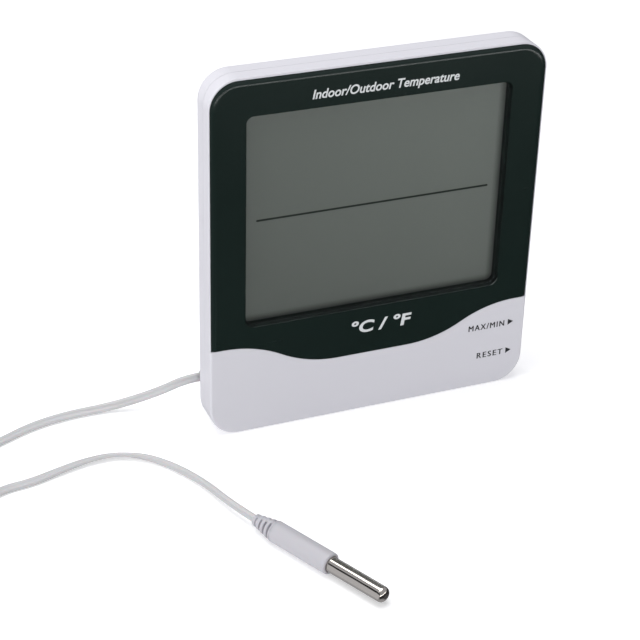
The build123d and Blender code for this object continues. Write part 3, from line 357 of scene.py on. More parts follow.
@dataclass(frozen=True)
class DrawnMetal(Finish):
    """Bright plated tube with fine draw lines along its length."""

    heading: float = 0.0
    lines: float = 2200.0
    stretch: float = 0.02
    line_depth: float = 0.35

    def relief(self, w: Wiring, height: bpy.types.NodeSocket) -> bpy.types.NodeSocket:
        """Adds lines that run along the tube."""
        place = w.place()
        inputs = {"Vector": place, "Rotation": (0.0, 0.0, -self.heading)}
        turned = w.add("ShaderNodeMapping", inputs).outputs[0]
        inputs = {"Vector": turned, "Scale": (self.stretch, 1.0, 1.0)}
        squeezed = w.add("ShaderNodeMapping", inputs).outputs[0]
        lines = w.noise(squeezed, self.lines, 3.0, 0.65)
        return w.math("MULTIPLY_ADD", lines, self.line_depth, height)


@dataclass(frozen=True)
class ContactRubber(Finish):
    """Rubber connector built of fine dark and light layers."""

    second: Triple = (0.02, 0.02, 0.02)
    pitch: float = 0.25

    def paint(self, w: Wiring) -> bpy.types.NodeSocket:
        """Stripes the strip along its length."""
        place = w.place()
        inputs = {"Vector": place, "Scale": 0.314 / (self.pitch * MM)}
        stripes = w.add("ShaderNodeTexWave", inputs, wave_type="BANDS", bands_direction="X").outputs[1]
        sharp = w.remap(stripes, 0.45, 0.55, 0.0, 1.0)
        return w.blend(sharp, (*self.colour, 1.0), (*self.second, 1.0))


@dataclass(frozen=True)
class CircuitLaminate(Finish):
    """Board with copper tracks under its green mask."""

    track: Triple = (0.06, 0.30, 0.10)

    def mask(self, w: Wiring) -> bpy.types.NodeSocket:
        """Where the tracks run."""
        place = w.place()
        inputs = {"Vector": place, "Rotation": (math.pi / 2, 0.0, 0.0)}
        turned = w.add("ShaderNodeMapping", inputs).outputs[0]
        inputs = {"Vector": turned, "Scale": 160.0}
        inputs |= {"Mortar Size": 0.12, "Brick Width": 1.7, "Row Height": 0.6}
        bricks = w.add("ShaderNodeTexBrick", inputs, offset=0.37).outputs["Fac"]
        areas = w.remap(w.noise(place, 60.0, 1.0), 0.47, 0.5, 0.0, 1.0)
        return w.math("MULTIPLY", bricks, areas)

    def paint(self, w: Wiring) -> bpy.types.NodeSocket:
        """Shows the tracks as a lighter green."""
        return w.blend(self.mask(w), (*self.colour, 1.0), (*self.track, 1.0))

    def relief(self, w: Wiring, height: bpy.types.NodeSocket) -> bpy.types.NodeSocket:
        """Raises the tracks."""
        return w.math("MULTIPLY_ADD", self.mask(w), 0.5, height)


@dataclass(frozen=True)
class DisplayFilm(Finish):
    """Polariser with painted shade at its right and bottom edges, where its frame shades it, and painted
    light that brightens it a little towards the top right.
    """

    shade_right: tuple[float, float] = (36.9, 39.6)
    shade_bottom: tuple[float, float] = (37.1, 34.3)
    shade: float = 0.3
    painted_light_slope: tuple[float, float] = (2.2, 3.2)
    painted_light_tones: tuple[float, float] = (0.86, 1.20)

    def paint(self, w: Wiring) -> bpy.types.NodeSocket:
        """Paints shade at the right and bottom edges, and paints light towards the top right."""
        place = w.split(w.place())
        # Painted shade: the tone darkens towards the right and bottom edges.
        begin, end = (x * MM for x in self.shade_right)
        right = w.remap(place[0], begin, end, 1.0, self.shade)
        begin, end = (z * MM for z in self.shade_bottom)
        bottom = w.remap(place[2], end, begin, self.shade, 1.0)
        # Painted light: the tone brightens a little towards the top right.
        upward = w.math("MULTIPLY", place[2], self.painted_light_slope[1])
        slope = w.math("MULTIPLY_ADD", place[0], self.painted_light_slope[0], upward)
        painted_light = w.remap(slope, 0.08, 0.40, *self.painted_light_tones)
        value = w.math("MULTIPLY", w.math("MULTIPLY", right, bottom), painted_light)
        return w.add("ShaderNodeHueSaturation", {"Value": value, "Color": self.toned(w)}).outputs[0]


@dataclass(frozen=True)
class BandedJacket(Finish):
    """Battery sleeve with a bright band at its positive end."""

    band: Triple = (0.62, 0.34, 0.10)
    band_from: float = 0.0
    band_blur: float = 0.1

    def paint(self, w: Wiring) -> bpy.types.NodeSocket:
        """Two plain colours along the cell."""
        place = w.split(w.place())
        start = self.band_from * MM
        share = w.remap(place[0], start, start + self.band_blur * MM, 0.0, 1.0)
        return w.blend(share, (*self.colour, 1.0), (*self.band, 1.0))


def linked(name: str, data: Any) -> bpy.types.Object:
    """Makes an object of the data and links it to the scene."""
    made = bpy.data.objects.new(name, data)
    bpy.context.scene.collection.objects.link(made)
    return made


def evaluated_mesh(holder: bpy.types.Object) -> bpy.types.Mesh:
    """The mesh that an object's curve, text or modifiers give."""
    bpy.context.view_layer.update()
    graph = bpy.context.evaluated_depsgraph_get()
    return bpy.data.meshes.new_from_object(holder.evaluated_get(graph))


def smooth_mesh(name: str, vertices: Points, faces: Sequence[Sequence[int]]) -> bpy.types.Object:
    """Makes a smooth-shaded piece from points in metres.

    Args:
        name: the piece's name.
        vertices: the points.
        faces: each face's vertex numbers.

    Returns:
        The new object, linked to the scene.
    """
    mesh = bpy.data.meshes.new(name)
    mesh.from_pydata([tuple(v) for v in vertices], [], [tuple(f) for f in faces])
    mesh.validate()
    mesh.shade_smooth()
    return linked(name, mesh)


def finish_piece(piece: bpy.types.Object, finish: Finish, body: str) -> bpy.types.Object:
    """Dresses a new piece and hangs it on its body.

    Args:
        piece: the new object.
        finish: what it is made of.
        body: the body that it moves with.

    Returns:
        The piece.
    """
    finish.dress(piece)
    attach(piece, body)
    LOG.info("%s: %d faces on %s", piece.name, len(piece.data.polygons), body)
    return piece


def turned_piece(rows: Loop, around: int) -> tuple[list[Triple], Faces]:
    """Turns a profile about the Z axis, with a flat cap at each end.

    Args:
        rows: each ring's radius and height, from the first cap to the last.
        around: how many points a ring has.

    Returns:
        The points and the faces.
    """
    points: list[Triple] = []
    faces: Faces = []
    for radius, z in rows:
        for n in range(around):
            turn = 2 * math.pi * n / around
            points.append((radius * math.cos(turn), radius * math.sin(turn), z))
    for row in range(len(rows) - 1):
        for n in range(around):
            a, b = row * around + n, row * around + (n + 1) % around
            faces.append((a, b, b + around, a + around))
    last = (len(rows) - 1) * around
    faces.append(tuple(range(around - 1, -1, -1)))
    faces.append(tuple(range(last, last + around)))
    return points, faces


def rounded_loop(half_width: float, half_height: float, radius: float, steps: int) -> Loop:
    """Points round a rounded rectangle, anticlockwise, with arcs at its corners.

    Args:
        half_width: half the rectangle's width.
        half_height: half its height.
        radius: the corners' radius.
        steps: how many pieces each arc has.

    Returns:
        The points in order.
    """
    loop = []
    for corner in range(4):
        turn = corner * math.pi / 2
        sx = 1 if corner in (0, 3) else -1
        sy = 1 if corner in (0, 1) else -1
        for n in range(steps + 1):
            angle = turn + n * math.pi / 2 / steps
            x = sx * (half_width - radius) + radius * math.cos(angle)
            loop.append((x, sy * (half_height - radius) + radius * math.sin(angle)))
    return loop


@dataclass(frozen=True)
class Lamp:
    """One soft rectangular lamp: where it stands, what it points at, its size and its watts."""

    name: str
    place: Triple
    aim: Triple
    size: tuple[float, float]
    power: float
    mirrored: bool = True
    lights_matt: bool = True

    def hang(self) -> None:
        """Adds the lamp to the scene, out of the camera's sight."""
        data = bpy.data.lights.new(self.name, "AREA")
        data.shape = "RECTANGLE"
        data.size, data.size_y = (side * MM for side in self.size)
        data.energy = self.power
        lamp = linked(self.name, data)
        lamp.visible_camera = False
        lamp.visible_glossy = self.mirrored
        lamp.visible_diffuse = self.lights_matt
        away = Vector(self.place) - Vector(self.aim)
        turned = away.to_track_quat("Z", "Y").to_matrix().to_4x4()
        lamp.matrix_world = Matrix.Translation(Vector(self.place) * MM) @ turned


LAMPS = (
    Lamp("overhead", (-120, 60, 900), (-20, 0, 40), (700, 700), 5.0),
    Lamp("left_window", (-800, -150, 400), (-20, 0, 50), (600, 600), 2.75, mirrored=False),
    Lamp("front_strip", (190, -560, 24), (0, 0, 60), (1100, 50), 1.1, lights_matt=False),
    Lamp("front_fill", (190, -560, 200), (0, 0, 60), (600, 300), 0.28, mirrored=False),
)


@dataclass
class Studio:
    """White table, soft lamps and the camera.

    The world's light changes with the direction that it comes from, given by the parts of a unit vector:
    a pale sky above the horizon, a glow from the table, and a glow at the left with a dark gap in it.
    """

    camera_place: Triple = (-191.64, -426.77, 291.09)
    camera_turn: float = -22.754
    camera_lift: float = 29.731
    camera_roll: float = 1.6055
    lens: float = 102.28
    floor_size: float = 4000.0
    table_gap: float = 0.02
    paper_light: float = 0.32
    sky: Triple = (0.93, 0.94, 1.0)
    sky_strength: float = 0.42
    below: float = 0.04
    table_glow: float = 0.42
    table_heights: tuple[float, float] = (-0.75, -0.59)
    side_glow: float = 0.62
    side_reach: tuple[float, float] = (-0.7, -0.35)
    gap_height: float = 0.47
    gap_edges: tuple[float, float] = (0.09, 0.17)
    horizon: tuple[float, float] = (0.0, 0.3)

    def camera(self) -> None:
        """Places the camera and makes it the scene's."""
        angles = (self.camera_turn, self.camera_lift, self.camera_roll)
        turn, lift, roll = (math.radians(angle) for angle in angles)
        level_x, level_y = math.sin(turn), -math.cos(turn)
        back = Vector((level_x * math.cos(lift), level_y * math.cos(lift), math.sin(lift)))
        level = Vector((math.cos(turn), math.sin(turn), 0.0))
        upright = level.cross(-back)
        right = level * math.cos(roll) + upright * math.sin(roll)
        up = upright * math.cos(roll) - level * math.sin(roll)
        data = bpy.data.cameras.new("camera")
        data.lens = self.lens
        data.sensor_width = 36.0
        data.clip_start = 0.01
        camera = linked("camera", data)
        turned = Matrix((right, up, back)).transposed().to_4x4()
        camera.matrix_world = Matrix.Translation(Vector(self.camera_place) * MM) @ turned
        bpy.context.scene.camera = camera

    def floor(self) -> None:
        """Lays the pale table top."""
        half = self.floor_size * MM / 2
        corners = [(-half, -half, 0), (half, -half, 0), (half, half, 0), (-half, half, 0)]
        table = smooth_mesh("table", corners, [(0, 1, 2, 3)])
        table.location.z = -self.table_gap * MM
        paper = Finish("white_paper", (0.9, 0.9, 0.9), 0.75, dust=0.0, scuffs=0.0, specular=0.1)
        paper.dress(table)
        shader = table.data.materials[0].node_tree.nodes["Principled BSDF"]
        shader.inputs["Emission Color"].default_value = (1.0, 1.0, 1.0, 1.0)
        shader.inputs["Emission Strength"].default_value = self.paper_light
        table.visible_glossy = False

    def build(self) -> None:
        """Makes the world, the table, the lamps and the camera."""
        world = bpy.data.worlds.new("studio")
        world.use_nodes = True
        w = Wiring(world.node_tree)
        background = world.node_tree.nodes["Background"]
        heading = w.split(w.add("ShaderNodeTexCoord").outputs["Generated"])
        sky = w.remap(heading[2], *self.horizon, self.below, self.sky_strength)
        table_glow = w.remap(heading[2], *self.table_heights, self.table_glow, 0.0)
        side_glow = w.remap(heading[0], *self.side_reach, self.side_glow, 0.0)
        lit = w.math("MAXIMUM", w.math("MAXIMUM", sky, table_glow), side_glow)
        gap = w.math("ABSOLUTE", w.math("SUBTRACT", heading[2], self.gap_height))
        leftward = w.remap(heading[0], -0.5, -0.3, 1.0, 0.0)
        gap_shade = w.math("MULTIPLY", w.remap(gap, *self.gap_edges, 0.99, 0.0), leftward)
        lit = w.math("MULTIPLY", lit, w.math("SUBTRACT", 1.0, gap_shade))
        seen = w.add("ShaderNodeLightPath").outputs["Is Camera Ray"]
        rise = w.remap(seen, 0.0, 1.0, lit, 1.0)
        background.inputs["Color"].default_value = (*self.sky, 1.0)
        w.tree.links.new(rise, background.inputs["Strength"])
        bpy.context.scene.world = world
        bpy.context.scene.view_settings.view_transform = "Standard"
        self.camera()
        self.floor()
        for lamp in LAMPS:
            lamp.hang()
        LOG.info("studio ready")


@dataclass
class SensorLead:
    """Flat twin lead: its free stretches, its wound-up length and its outline."""

    width: float = 2.6
    core_radius: float = 0.66
    core_offset: float = 0.64
    core_steps: int = 8
    groove_angle: float = 42.0
    length: float = 3000.0
    coil_centre: tuple[float, float] = (-154.0, -22.0)
    coil_mean: float = 22.0
    columns: int = 5
    layers: int = 4
    column_pitch: float = 2.7
    layer_pitch: float = 1.42
    coil_floor: float = 0.74
    turn_points: int = 16
    tie_lift: float = 0.75
    tie_spread: float = 0.35
    start_angle: float = 82.0
    end_angle: float = 302.0
    whole_turns: int = 19
    crossing: float = 0.25  # share of a turn in which the lead moves to its next place
    sway: float = 0.10
    ripple: float = 0.06
    outward: tuple[Triple, ...] = (
        *((-47.95, 4.6, 12.0), (-53.0, 4.6, 12.0), (-58.6, 7.6, 8.0), (-65.4, 11.7, 3.8)),
        *((-74.4, 13.8, 1.4), (-86.2, 13.9, 1.3), (-97.6, 11.8, 1.1), (-108.2, 6.9, 0.95)),
        *((-119.4, 2.6, 0.85), (-131.0, 4.2, 0.85), (-142.4, 5.4, 0.8)),
    )
    homeward: tuple[Triple, ...] = (
        *((-132.0, -41.0, 4.4), (-126.0, -33.0, 2.8), (-121.6, -21.4, 1.35), (-112.6, -16.2, 0.95)),
        *((-104.0, -15.6, 0.95), (-95.0, -12.6, 1.1), (-86.4, -10.6, 1.35), (-78.6, -10.6, 1.4)),
        *((-71.6, -14.2, 1.45), (-65.4, -21.6, 1.5), (-59.6, -33.6, 1.9), (-56.2, -49.0, 3.05)),
        (-49.2, -64.2, 3.05),
    )
    # Distance from the gland, or from the grip, and the wide side's angle there.
    twist_outward: Angles = ((0, 62), (25, 58), (45, 30), (70, 12), (110, 0))
    twist_homeward: Angles = (
        *((150, 0), (100, -20), (88, -18), (80, 0), (70, 25)),
        *((60, 35), (53, 62), (45, 84), (0, 90)),
    )

    def seat(self, turn: float) -> tuple[float, float]:
        """The radius and height of the winding after that many turns.

        Args:
            turn: turns since the winding's start.

        Returns:
            The centreline's radius and height there.
        """
        last = self.columns * self.layers - 1
        whole = min(int(turn), last)
        share = max(0.0, (turn - whole - 1 + self.crossing) / self.crossing)
        share = share * share * (3 - 2 * share)
        radius, height = self.place_in_bundle(whole)
        next_radius, next_height = self.place_in_bundle(min(whole + 1, last))
        return radius + share * (next_radius - radius), height + share * (next_height - height)

    def place_in_bundle(self, turn: int) -> tuple[float, float]:
        """The radius and height of one whole turn: each layer is wound back over the last."""
        layer, step = divmod(turn, self.columns)
        column = step if layer % 2 == 0 else self.columns - 1 - step
        outermost = (self.columns - 1) / 2
        radius = self.coil_mean + (outermost - column) * self.column_pitch
        return radius, self.coil_floor + layer * self.layer_pitch

    def winding(self) -> list[Triple]:
        """Control points of the wound-up length."""
        total = (self.end_angle - self.start_angle) / 360 + self.whole_turns
        count = round(total * self.turn_points)
        swell = 1 / math.cos(math.pi / self.turn_points)
        points = []
        for n in range(count + 1):
            turn = total * n / count
            angle = math.radians(self.start_angle) + turn * 2 * math.pi
            radius, height = self.seat(turn)
            radius += self.sway * math.sin(1.7 * turn) + self.ripple * math.sin(2 * angle + turn)
            far = math.remainder(angle - math.pi, 2 * math.pi)
            height += self.tie_lift * math.exp(-((far / self.tie_spread) ** 2))
            x = self.coil_centre[0] + swell * radius * math.cos(angle)
            points.append((x, self.coil_centre[1] + swell * radius * math.sin(angle), height))
        return points

    def centreline(self) -> np.ndarray:
        """The lead's smooth middle line, read from its NURBS curve, in metres."""
        route = [*self.outward, *self.winding(), *self.homeward]
        data = bpy.data.curves.new("lead_route", "CURVE")
        data.dimensions = "3D"
        data.resolution_u = 5
        spline = data.splines.new("NURBS")
        spline.points.add(len(route) - 1)
        for point, place in zip(spline.points, route):
            point.co = (*(Vector(place) * MM), 1.0)
        spline.order_u = 3
        spline.use_endpoint_u = True
        holder = linked("lead_route", data)
        line = evaluated_mesh(holder)
        path = np.array([tuple(v.co) for v in line.vertices])
        bpy.data.meshes.remove(line)
        bpy.data.objects.remove(holder)
        bpy.data.curves.remove(data)
        return path

    def outline(self) -> Loop:
        """The twin lead's section: two round cores joined by a thin web."""
        span = math.pi - math.radians(self.groove_angle)
        right = []
        for n in range(self.core_steps + 1):
            angle = -span + 2 * span * n / self.core_steps
            x = self.core_offset + self.core_radius * math.cos(angle)
            right.append((x, self.core_radius * math.sin(angle)))
        left = [(-x, -y) for x, y in right]
        return right + left

    def build(self, finish: Finish, tie: Finish) -> None:
        """Args:
            finish: the lead's soft jacket.
            tie: the strap round the coil.
        """
        path = self.centreline()
        steps = np.linalg.norm(np.diff(path, axis=0), axis=1)
        along = np.concatenate([[0.0], np.cumsum(steps)])
        tangent = np.gradient(path, axis=0)
        tangent /= np.linalg.norm(tangent, axis=1)[:, None]
        side = np.cross(tangent, (0.0, 0.0, 1.0))
        side /= np.linalg.norm(side, axis=1)[:, None]
        rise = np.cross(side, tangent)
        stations = [station * MM for station, _ in self.twist_outward]
        stations += [along[-1] - station * MM for station, _ in self.twist_homeward]
        turns = [turn for _, turn in self.twist_outward + self.twist_homeward]
        angle = np.radians(np.interp(along, stations, turns))[:, None]
        wide = side * np.cos(angle) + rise * np.sin(angle)
        thin = rise * np.cos(angle) - side * np.sin(angle)
        outline = self.outline()
        rings = [path + (wide * x + thin * y) * MM for x, y in outline]
        vertices = np.stack(rings, axis=1).reshape(-1, 3)
        around, count = len(outline), len(path)
        faces = []
        for n in range(count - 1):
            for m in range(around):
                a, b = n * around + m, n * around + (m + 1) % around
                faces.append((a, b, b + around, a + around))
        faces.append(tuple(range(around - 1, -1, -1)))
        faces.append(tuple(range((count - 1) * around, count * around)))
        piece = smooth_mesh("sensor_lead", vertices, faces)
        finish_piece(piece, finish, "root")
        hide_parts("lead_out", "lead_back", "lead_coil")
        tie.dress(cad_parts["lead_tie"])
        held = ["probe_grip_body", "probe_relief_ribs", "probe_sheath"]
        held += ["probe_bead", "probe_filling", "lead_tie"]
        LOG.info("lead line is %.3f m long", along[-1])


@dataclass
class ProbeGrip:
    """Moulded grip with a tapered, slotted relief, lying on the table."""

    start: tuple[float, float] = (-53.0, -55.9)
    heading: tuple[float, float] = PROBE_HEADING
    radius: float = 3.05
    length: float = 27.5
    relief: float = 7.6
    nose_radius: float = 1.75
    core_radius: float = 1.35
    ribs: int = 4
    rib_pitch: float = 1.75
    rib_thickness: float = 0.95
    spine_half: float = 0.62
    edge: float = 0.55
    shoulder: float = 0.35
    shoulder_soft: float = 0.45
    mouth: float = 2.2
    arc_steps: int = 6
    around: int = 64

    def place(self, points: Points) -> list[Vector]:
        """Moves points from the grip's own frame, where it runs along Z, to the table."""
        dx, dy = self.heading
        axes = Matrix(((-dy, dx, 0.0), (0.0, 0.0, 1.0), (dx, dy, 0.0))).transposed()
        base = Vector((*self.start, self.radius))
        return [(base + axes @ Vector(p)) * MM for p in points]

    def profile(self) -> Loop:
        """Radius and distance along the grip, from the relief's end to the sheath."""
        rows = [(self.core_radius - 0.2, 0.05), (self.core_radius, 0.0)]
        rows += [(self.core_radius, 0.4), (self.core_radius + 0.15, self.relief - 1.2)]
        quarter = [n / self.arc_steps * math.pi / 2 for n in range(self.arc_steps + 1)]
        inner, soft = self.radius - self.shoulder, self.shoulder_soft
        for turn in quarter:
            z = self.relief - soft + soft * (1 - math.cos(turn))
            rows.append((inner + self.shoulder * math.sin(turn), z))
        rows.append((self.radius, self.length * 0.6))
        for turn in quarter:
            z = self.length - self.edge * (1 - math.sin(turn))
            rows.append((self.radius - self.edge * (1 - math.cos(turn)), z))
        rows.append((self.mouth + 0.1, self.length - 0.02))
        rows.append((self.mouth, self.length - 0.4))
        return rows

    def body(self) -> bpy.types.Object:
        """The grip's barrel and the relief's core."""
        points, faces = turned_piece(self.profile(), self.around)
        return smooth_mesh("probe_grip_body", self.place(points), faces)

    def rib_shape(self) -> bpy.types.Object:
        """One rib: a round collar of radius 1 with soft edges, about the origin."""
        half, soft = self.rib_thickness / 2, 0.18
        rows = [(0.3, -half)]
        for n in range(5):
            turn = n / 4 * math.pi / 2
            rows.append((1.0 - 0.07 * (1 - math.sin(turn)), -half + soft * (1 - math.cos(turn))))
        rows += [(r, -z) for r, z in reversed(rows)]
        points, faces = turned_piece(rows, self.around)
        return smooth_mesh("rib_shape", points, faces)

    def rib_tree(self, rib: bpy.types.Object, material: bpy.types.Material) -> bpy.types.NodeTree:
        """Geometry nodes that stand the ribs in a row, each a little wider than the last."""
        tree = bpy.data.node_groups.new("relief_ribs", "GeometryNodeTree")
        face = tree.interface
        face.new_socket("Geometry", in_out="INPUT", socket_type="NodeSocketGeometry")
        face.new_socket("Geometry", in_out="OUTPUT", socket_type="NodeSocketGeometry")
        sizes = {
            "Count": (self.ribs + 1, "NodeSocketInt"),
            "Pitch": (self.rib_pitch, "NodeSocketFloat"),
            "First Radius": (self.nose_radius, "NodeSocketFloat"),
            "Last Radius": (self.radius, "NodeSocketFloat"),
        }
        for label, (value, kind) in sizes.items():
            face.new_socket(label, in_out="INPUT", socket_type=kind).default_value = value
        w = Wiring(tree)
        given, out = w.add("NodeGroupInput"), w.add("NodeGroupOutput")
        step = w.add("ShaderNodeCombineXYZ", {2: given.outputs["Pitch"]}).outputs[0]
        start = (0.0, 0.0, self.rib_thickness / 2)
        inputs = {"Count": given.outputs["Count"], "Start Location": start, "Offset": step}
        line = w.add("GeometryNodeMeshLine", inputs)
        last = w.math("SUBTRACT", given.outputs["Count"], 1.0)
        share = w.math("DIVIDE", w.add("GeometryNodeInputIndex").outputs[0], last)
        radii = given.outputs["First Radius"], given.outputs["Last Radius"]
        width = w.add("ShaderNodeMapRange", {0: share, 3: radii[0], 4: radii[1]}).outputs[0]
        scale = w.add("ShaderNodeCombineXYZ", {0: width, 1: width, 2: 1.0}).outputs[0]
        shape = w.add("GeometryNodeObjectInfo", {"Object": rib}).outputs["Geometry"]
        inputs = {"Points": line.outputs[0], "Instance": shape, "Scale": scale}
        stood = w.add("GeometryNodeInstanceOnPoints", inputs)
        solid = w.add("GeometryNodeRealizeInstances", {0: stood.outputs[0]})
        dressed = w.add("GeometryNodeSetMaterial", {"Geometry": solid.outputs[0], "Material": material})
        w.tree.links.new(dressed.outputs[0], out.inputs[0])
        return tree

    def spines(self) -> tuple[list[Triple], Faces]:
        """Two flat webs, above and below, that join the ribs."""
        points: list[Triple] = []
        faces: Faces = []
        ends = ((0.1, self.nose_radius - 0.04), (self.relief + 0.3, self.radius - 0.06))
        for side in (1, -1):
            first = len(points)
            for z, reach in ends:
                for x, y in ((-1, 0.2), (1, 0.2), (1, 0.94), (0.4, 1.0), (-0.4, 1.0), (-1, 0.94)):
                    points.append((side * x * self.spine_half, side * y * reach, z))
            ring = 6
            for n in range(ring):
                a, b = first + n, first + (n + 1) % ring
                faces.append((a, b, b + ring, a + ring))
            faces.append(tuple(range(first + ring - 1, first - 1, -1)))
            faces.append(tuple(range(first + ring, first + 2 * ring)))
        return points, faces

    def build(self, finish: Finish, metal: Finish, potting: Finish, bead: Finish) -> None:
        """Makes the grip and dresses the probe's other pieces.

        Args:
            finish: the grip's moulded plastic.
            metal: the sheath's plating.
            potting: the filling.
            bead: the sensor bead.
        """
        body = finish_piece(self.body(), finish, "root")
        rib = self.rib_shape()
        points, faces = self.spines()
        holder = smooth_mesh("rib_holder", [(0, 0, 0)], [])
        modifier = holder.modifiers.new("ribs", "NODES")
        modifier.node_group = self.rib_tree(rib, finish.material())
        ribs = evaluated_mesh(holder)
        offset = len(ribs.vertices)
        everything = [tuple(v.co) for v in ribs.vertices] + points
        polygons = [tuple(p.vertices) for p in ribs.polygons]
        polygons += [tuple(v + offset for v in f) for f in faces]
        piece = smooth_mesh("probe_relief_ribs", self.place(everything), polygons)
        for spare in (holder, rib):
            bpy.data.objects.remove(spare)
        finish_piece(piece, finish, "root")
        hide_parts("probe_grip")
        for node, made_of in (("sheath", metal), ("filling", potting), ("bead", bead)):
            made_of.dress(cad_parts[f"probe_{node}"])


@dataclass
class Lettering:
    """Thin printed lettering and marks on the case."""

    front_y: float = -10.0
    back_y: float = 10.0
    film: float = 0.02
    words_end: float = 43.3
    strike_shift: float = 0.13
    key_words: tuple[tuple[str, str, float, float, float], ...] = (
        ("print_maxmin", "MAX/MIN", 19.6, 11.8, 1.25),
        ("print_reset", "RESET", 9.7, 8.5, 1.3),
    )

    def line(
        self,
        name: str,
        words: str,
        place: tuple[float, float],
        height: float,
        width: float,
        ink: Finish,
        facing: Facing = Facing.FRONT,
        lean: float = 0.0,
        weight: float = 0.0,
        spacing: float = 1.0,
        align: Align = Align.CENTRE,
    ) -> None:
        """Sets one line of lettering as a thin raised mesh.

        Args:
            name: the piece's name.
            words: what it says.
            place: x and z of its middle or end.
            height: the capitals' height.
            width: the whole line's width.
            ink: the print's finish.
            facing: which face of the case it is on.
            lean: how far it slants.
            weight: how much thicker its strokes are.
            spacing: the space between letters, against the usual.
            align: which part of the line is at place.
        """
        data = bpy.data.curves.new(name, "FONT")
        data.body = words
        data.shear = lean
        data.offset = weight
        data.space_character = spacing
        data.align_x = align.value
        data.extrude = 0.5
        data.resolution_u = 6
        holder = linked(name, data)
        mesh = evaluated_mesh(holder)
        bpy.data.objects.remove(holder)
        co = np.array([tuple(v.co) for v in mesh.vertices])
        scale_x = width / (co[:, 0].max() - co[:, 0].min())
        scale_z = height / CAPITAL_SHARE
        flip = 1.0 if facing is Facing.FRONT else -1.0
        surface = self.front_y if facing is Facing.FRONT else self.back_y
        for vertex, (x, y, z) in zip(mesh.vertices, co):
            depth = surface - flip * (z * self.film + self.film / 2)
            vertex.co = Vector((place[0] + flip * x * scale_x, depth, place[1] + y * scale_z)) * MM
        mesh.name = name
        finish_piece(linked(name, mesh), ink, "root")

    def wedge(self, name: str, place: tuple[float, float], size: float, ink: Finish) -> None:
        """A small printed arrowhead that points right, from place, the middle of its left side."""
        x, z = place
        corners = [(x, z + size / 2), (x, z - size / 2), (x + size * 0.9, z)]
        front = [(px, self.front_y - self.film, pz) for px, pz in corners]
        rear = [(px, self.front_y, pz) for px, pz in corners]
        points = [Vector(p) * MM for p in front + rear]
        faces = [(0, 1, 2), (5, 4, 3), (0, 3, 4, 1), (1, 4, 5, 2), (2, 5, 3, 0)]
        piece = smooth_mesh(name, points, faces)
        piece.data.shade_flat()
        finish_piece(piece, ink, "root")

    def build(self, pale: Finish, dark: Finish) -> None:
        """Sets every line of print.

        Args:
            pale: print on the dark bezel.
            dark: print on the white case.
        """
        title = "Indoor/Outdoor Temperature"
        self.line("print_title", title, (0.8, 101.6), 2.7, 43.5, pale, lean=0.22, weight=0.02)
        self.line("print_units", "°C / °F", (2.0, 26.4), 3.8, 19.0, pale, lean=0.12, weight=0.03)
        # Each key's word is struck twice, a little apart, which makes its strokes bolder.
        for strike, x in (("", self.words_end), ("_bold", self.words_end + self.strike_shift)):
            for name, words, z, width, spacing in self.key_words:
                sizes = {"height": 2.0, "width": width, "spacing": spacing}
                self.line(name + strike, words, (x, z), ink=dark, align=Align.RIGHT, **sizes)
        self.wedge("print_maxmin_arrow", (44.4, 20.65), 2.0, dark)
        self.wedge("print_reset_arrow", (44.4, 10.75), 2.0, dark)
        self.line("print_unit_c", "°C", (-30.0, 56.5), 2.4, 4.0, dark, facing=Facing.BACK)
        self.line("print_unit_f", "°F", (-30.0, 37.6), 2.4, 4.0, dark, facing=Facing.BACK)


@dataclass
class Display:
    """The display's layers and the dark line across its middle."""

    line_half: float = 35.5
    line_z: float = 66.3
    line_height: float = 0.62
    line_thickness: float = 0.03
    depth_y: float = -7.1

    def build(
        self, film: Finish, glass: Finish, mirror: Finish, ink: Finish, rubber: Finish, holder: Finish
    ) -> None:
        """Dresses the layers and draws the line.

        Args:
            film: the front polariser.
            glass: both glass plates.
            mirror: the reflector behind them.
            ink: the dark line.
            rubber: the two connectors.
            holder: the frame round the display.
        """
        layers = {
            "lcd_front_polariser": film,
            "lcd_front_glass": glass,
            "lcd_rear_glass": glass,
            "lcd_reflector": mirror,
            "connector_strip_top": rubber,
            "connector_strip_bottom": rubber,
            "lcd_holder": holder,
        }
        for node, finish in layers.items():
            finish.dress(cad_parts[node])
        half_height = self.line_height / 2
        loop = rounded_loop(self.line_half, half_height, half_height - 0.02, 6)
        front_y = self.depth_y - self.line_thickness
        near = [Vector((x, front_y, self.line_z + z)) * MM for x, z in loop]
        far = [Vector((x, self.depth_y, self.line_z + z)) * MM for x, z in loop]
        count = len(loop)
        faces = [tuple(range(count)), tuple(range(2 * count - 1, count - 1, -1))]
        faces += [(n, n + count, (n + 1) % count + count, (n + 1) % count) for n in range(count)]
        piece = smooth_mesh("display_divider", near + far, faces)
        piece.data.shade_flat()
        finish_piece(piece, ink, "root")


def dress_case(groups: Iterable[tuple[Finish, Sequence[str]]]) -> None:
    """Gives each of the case's own pieces its finish.

    Args:
        groups: each finish and the names of the nodes that have it.
    """
    for finish, names in groups:
        for name in names:
            finish.dress(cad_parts[name])
            LOG.info("%s dressed as %s", name, finish.name)


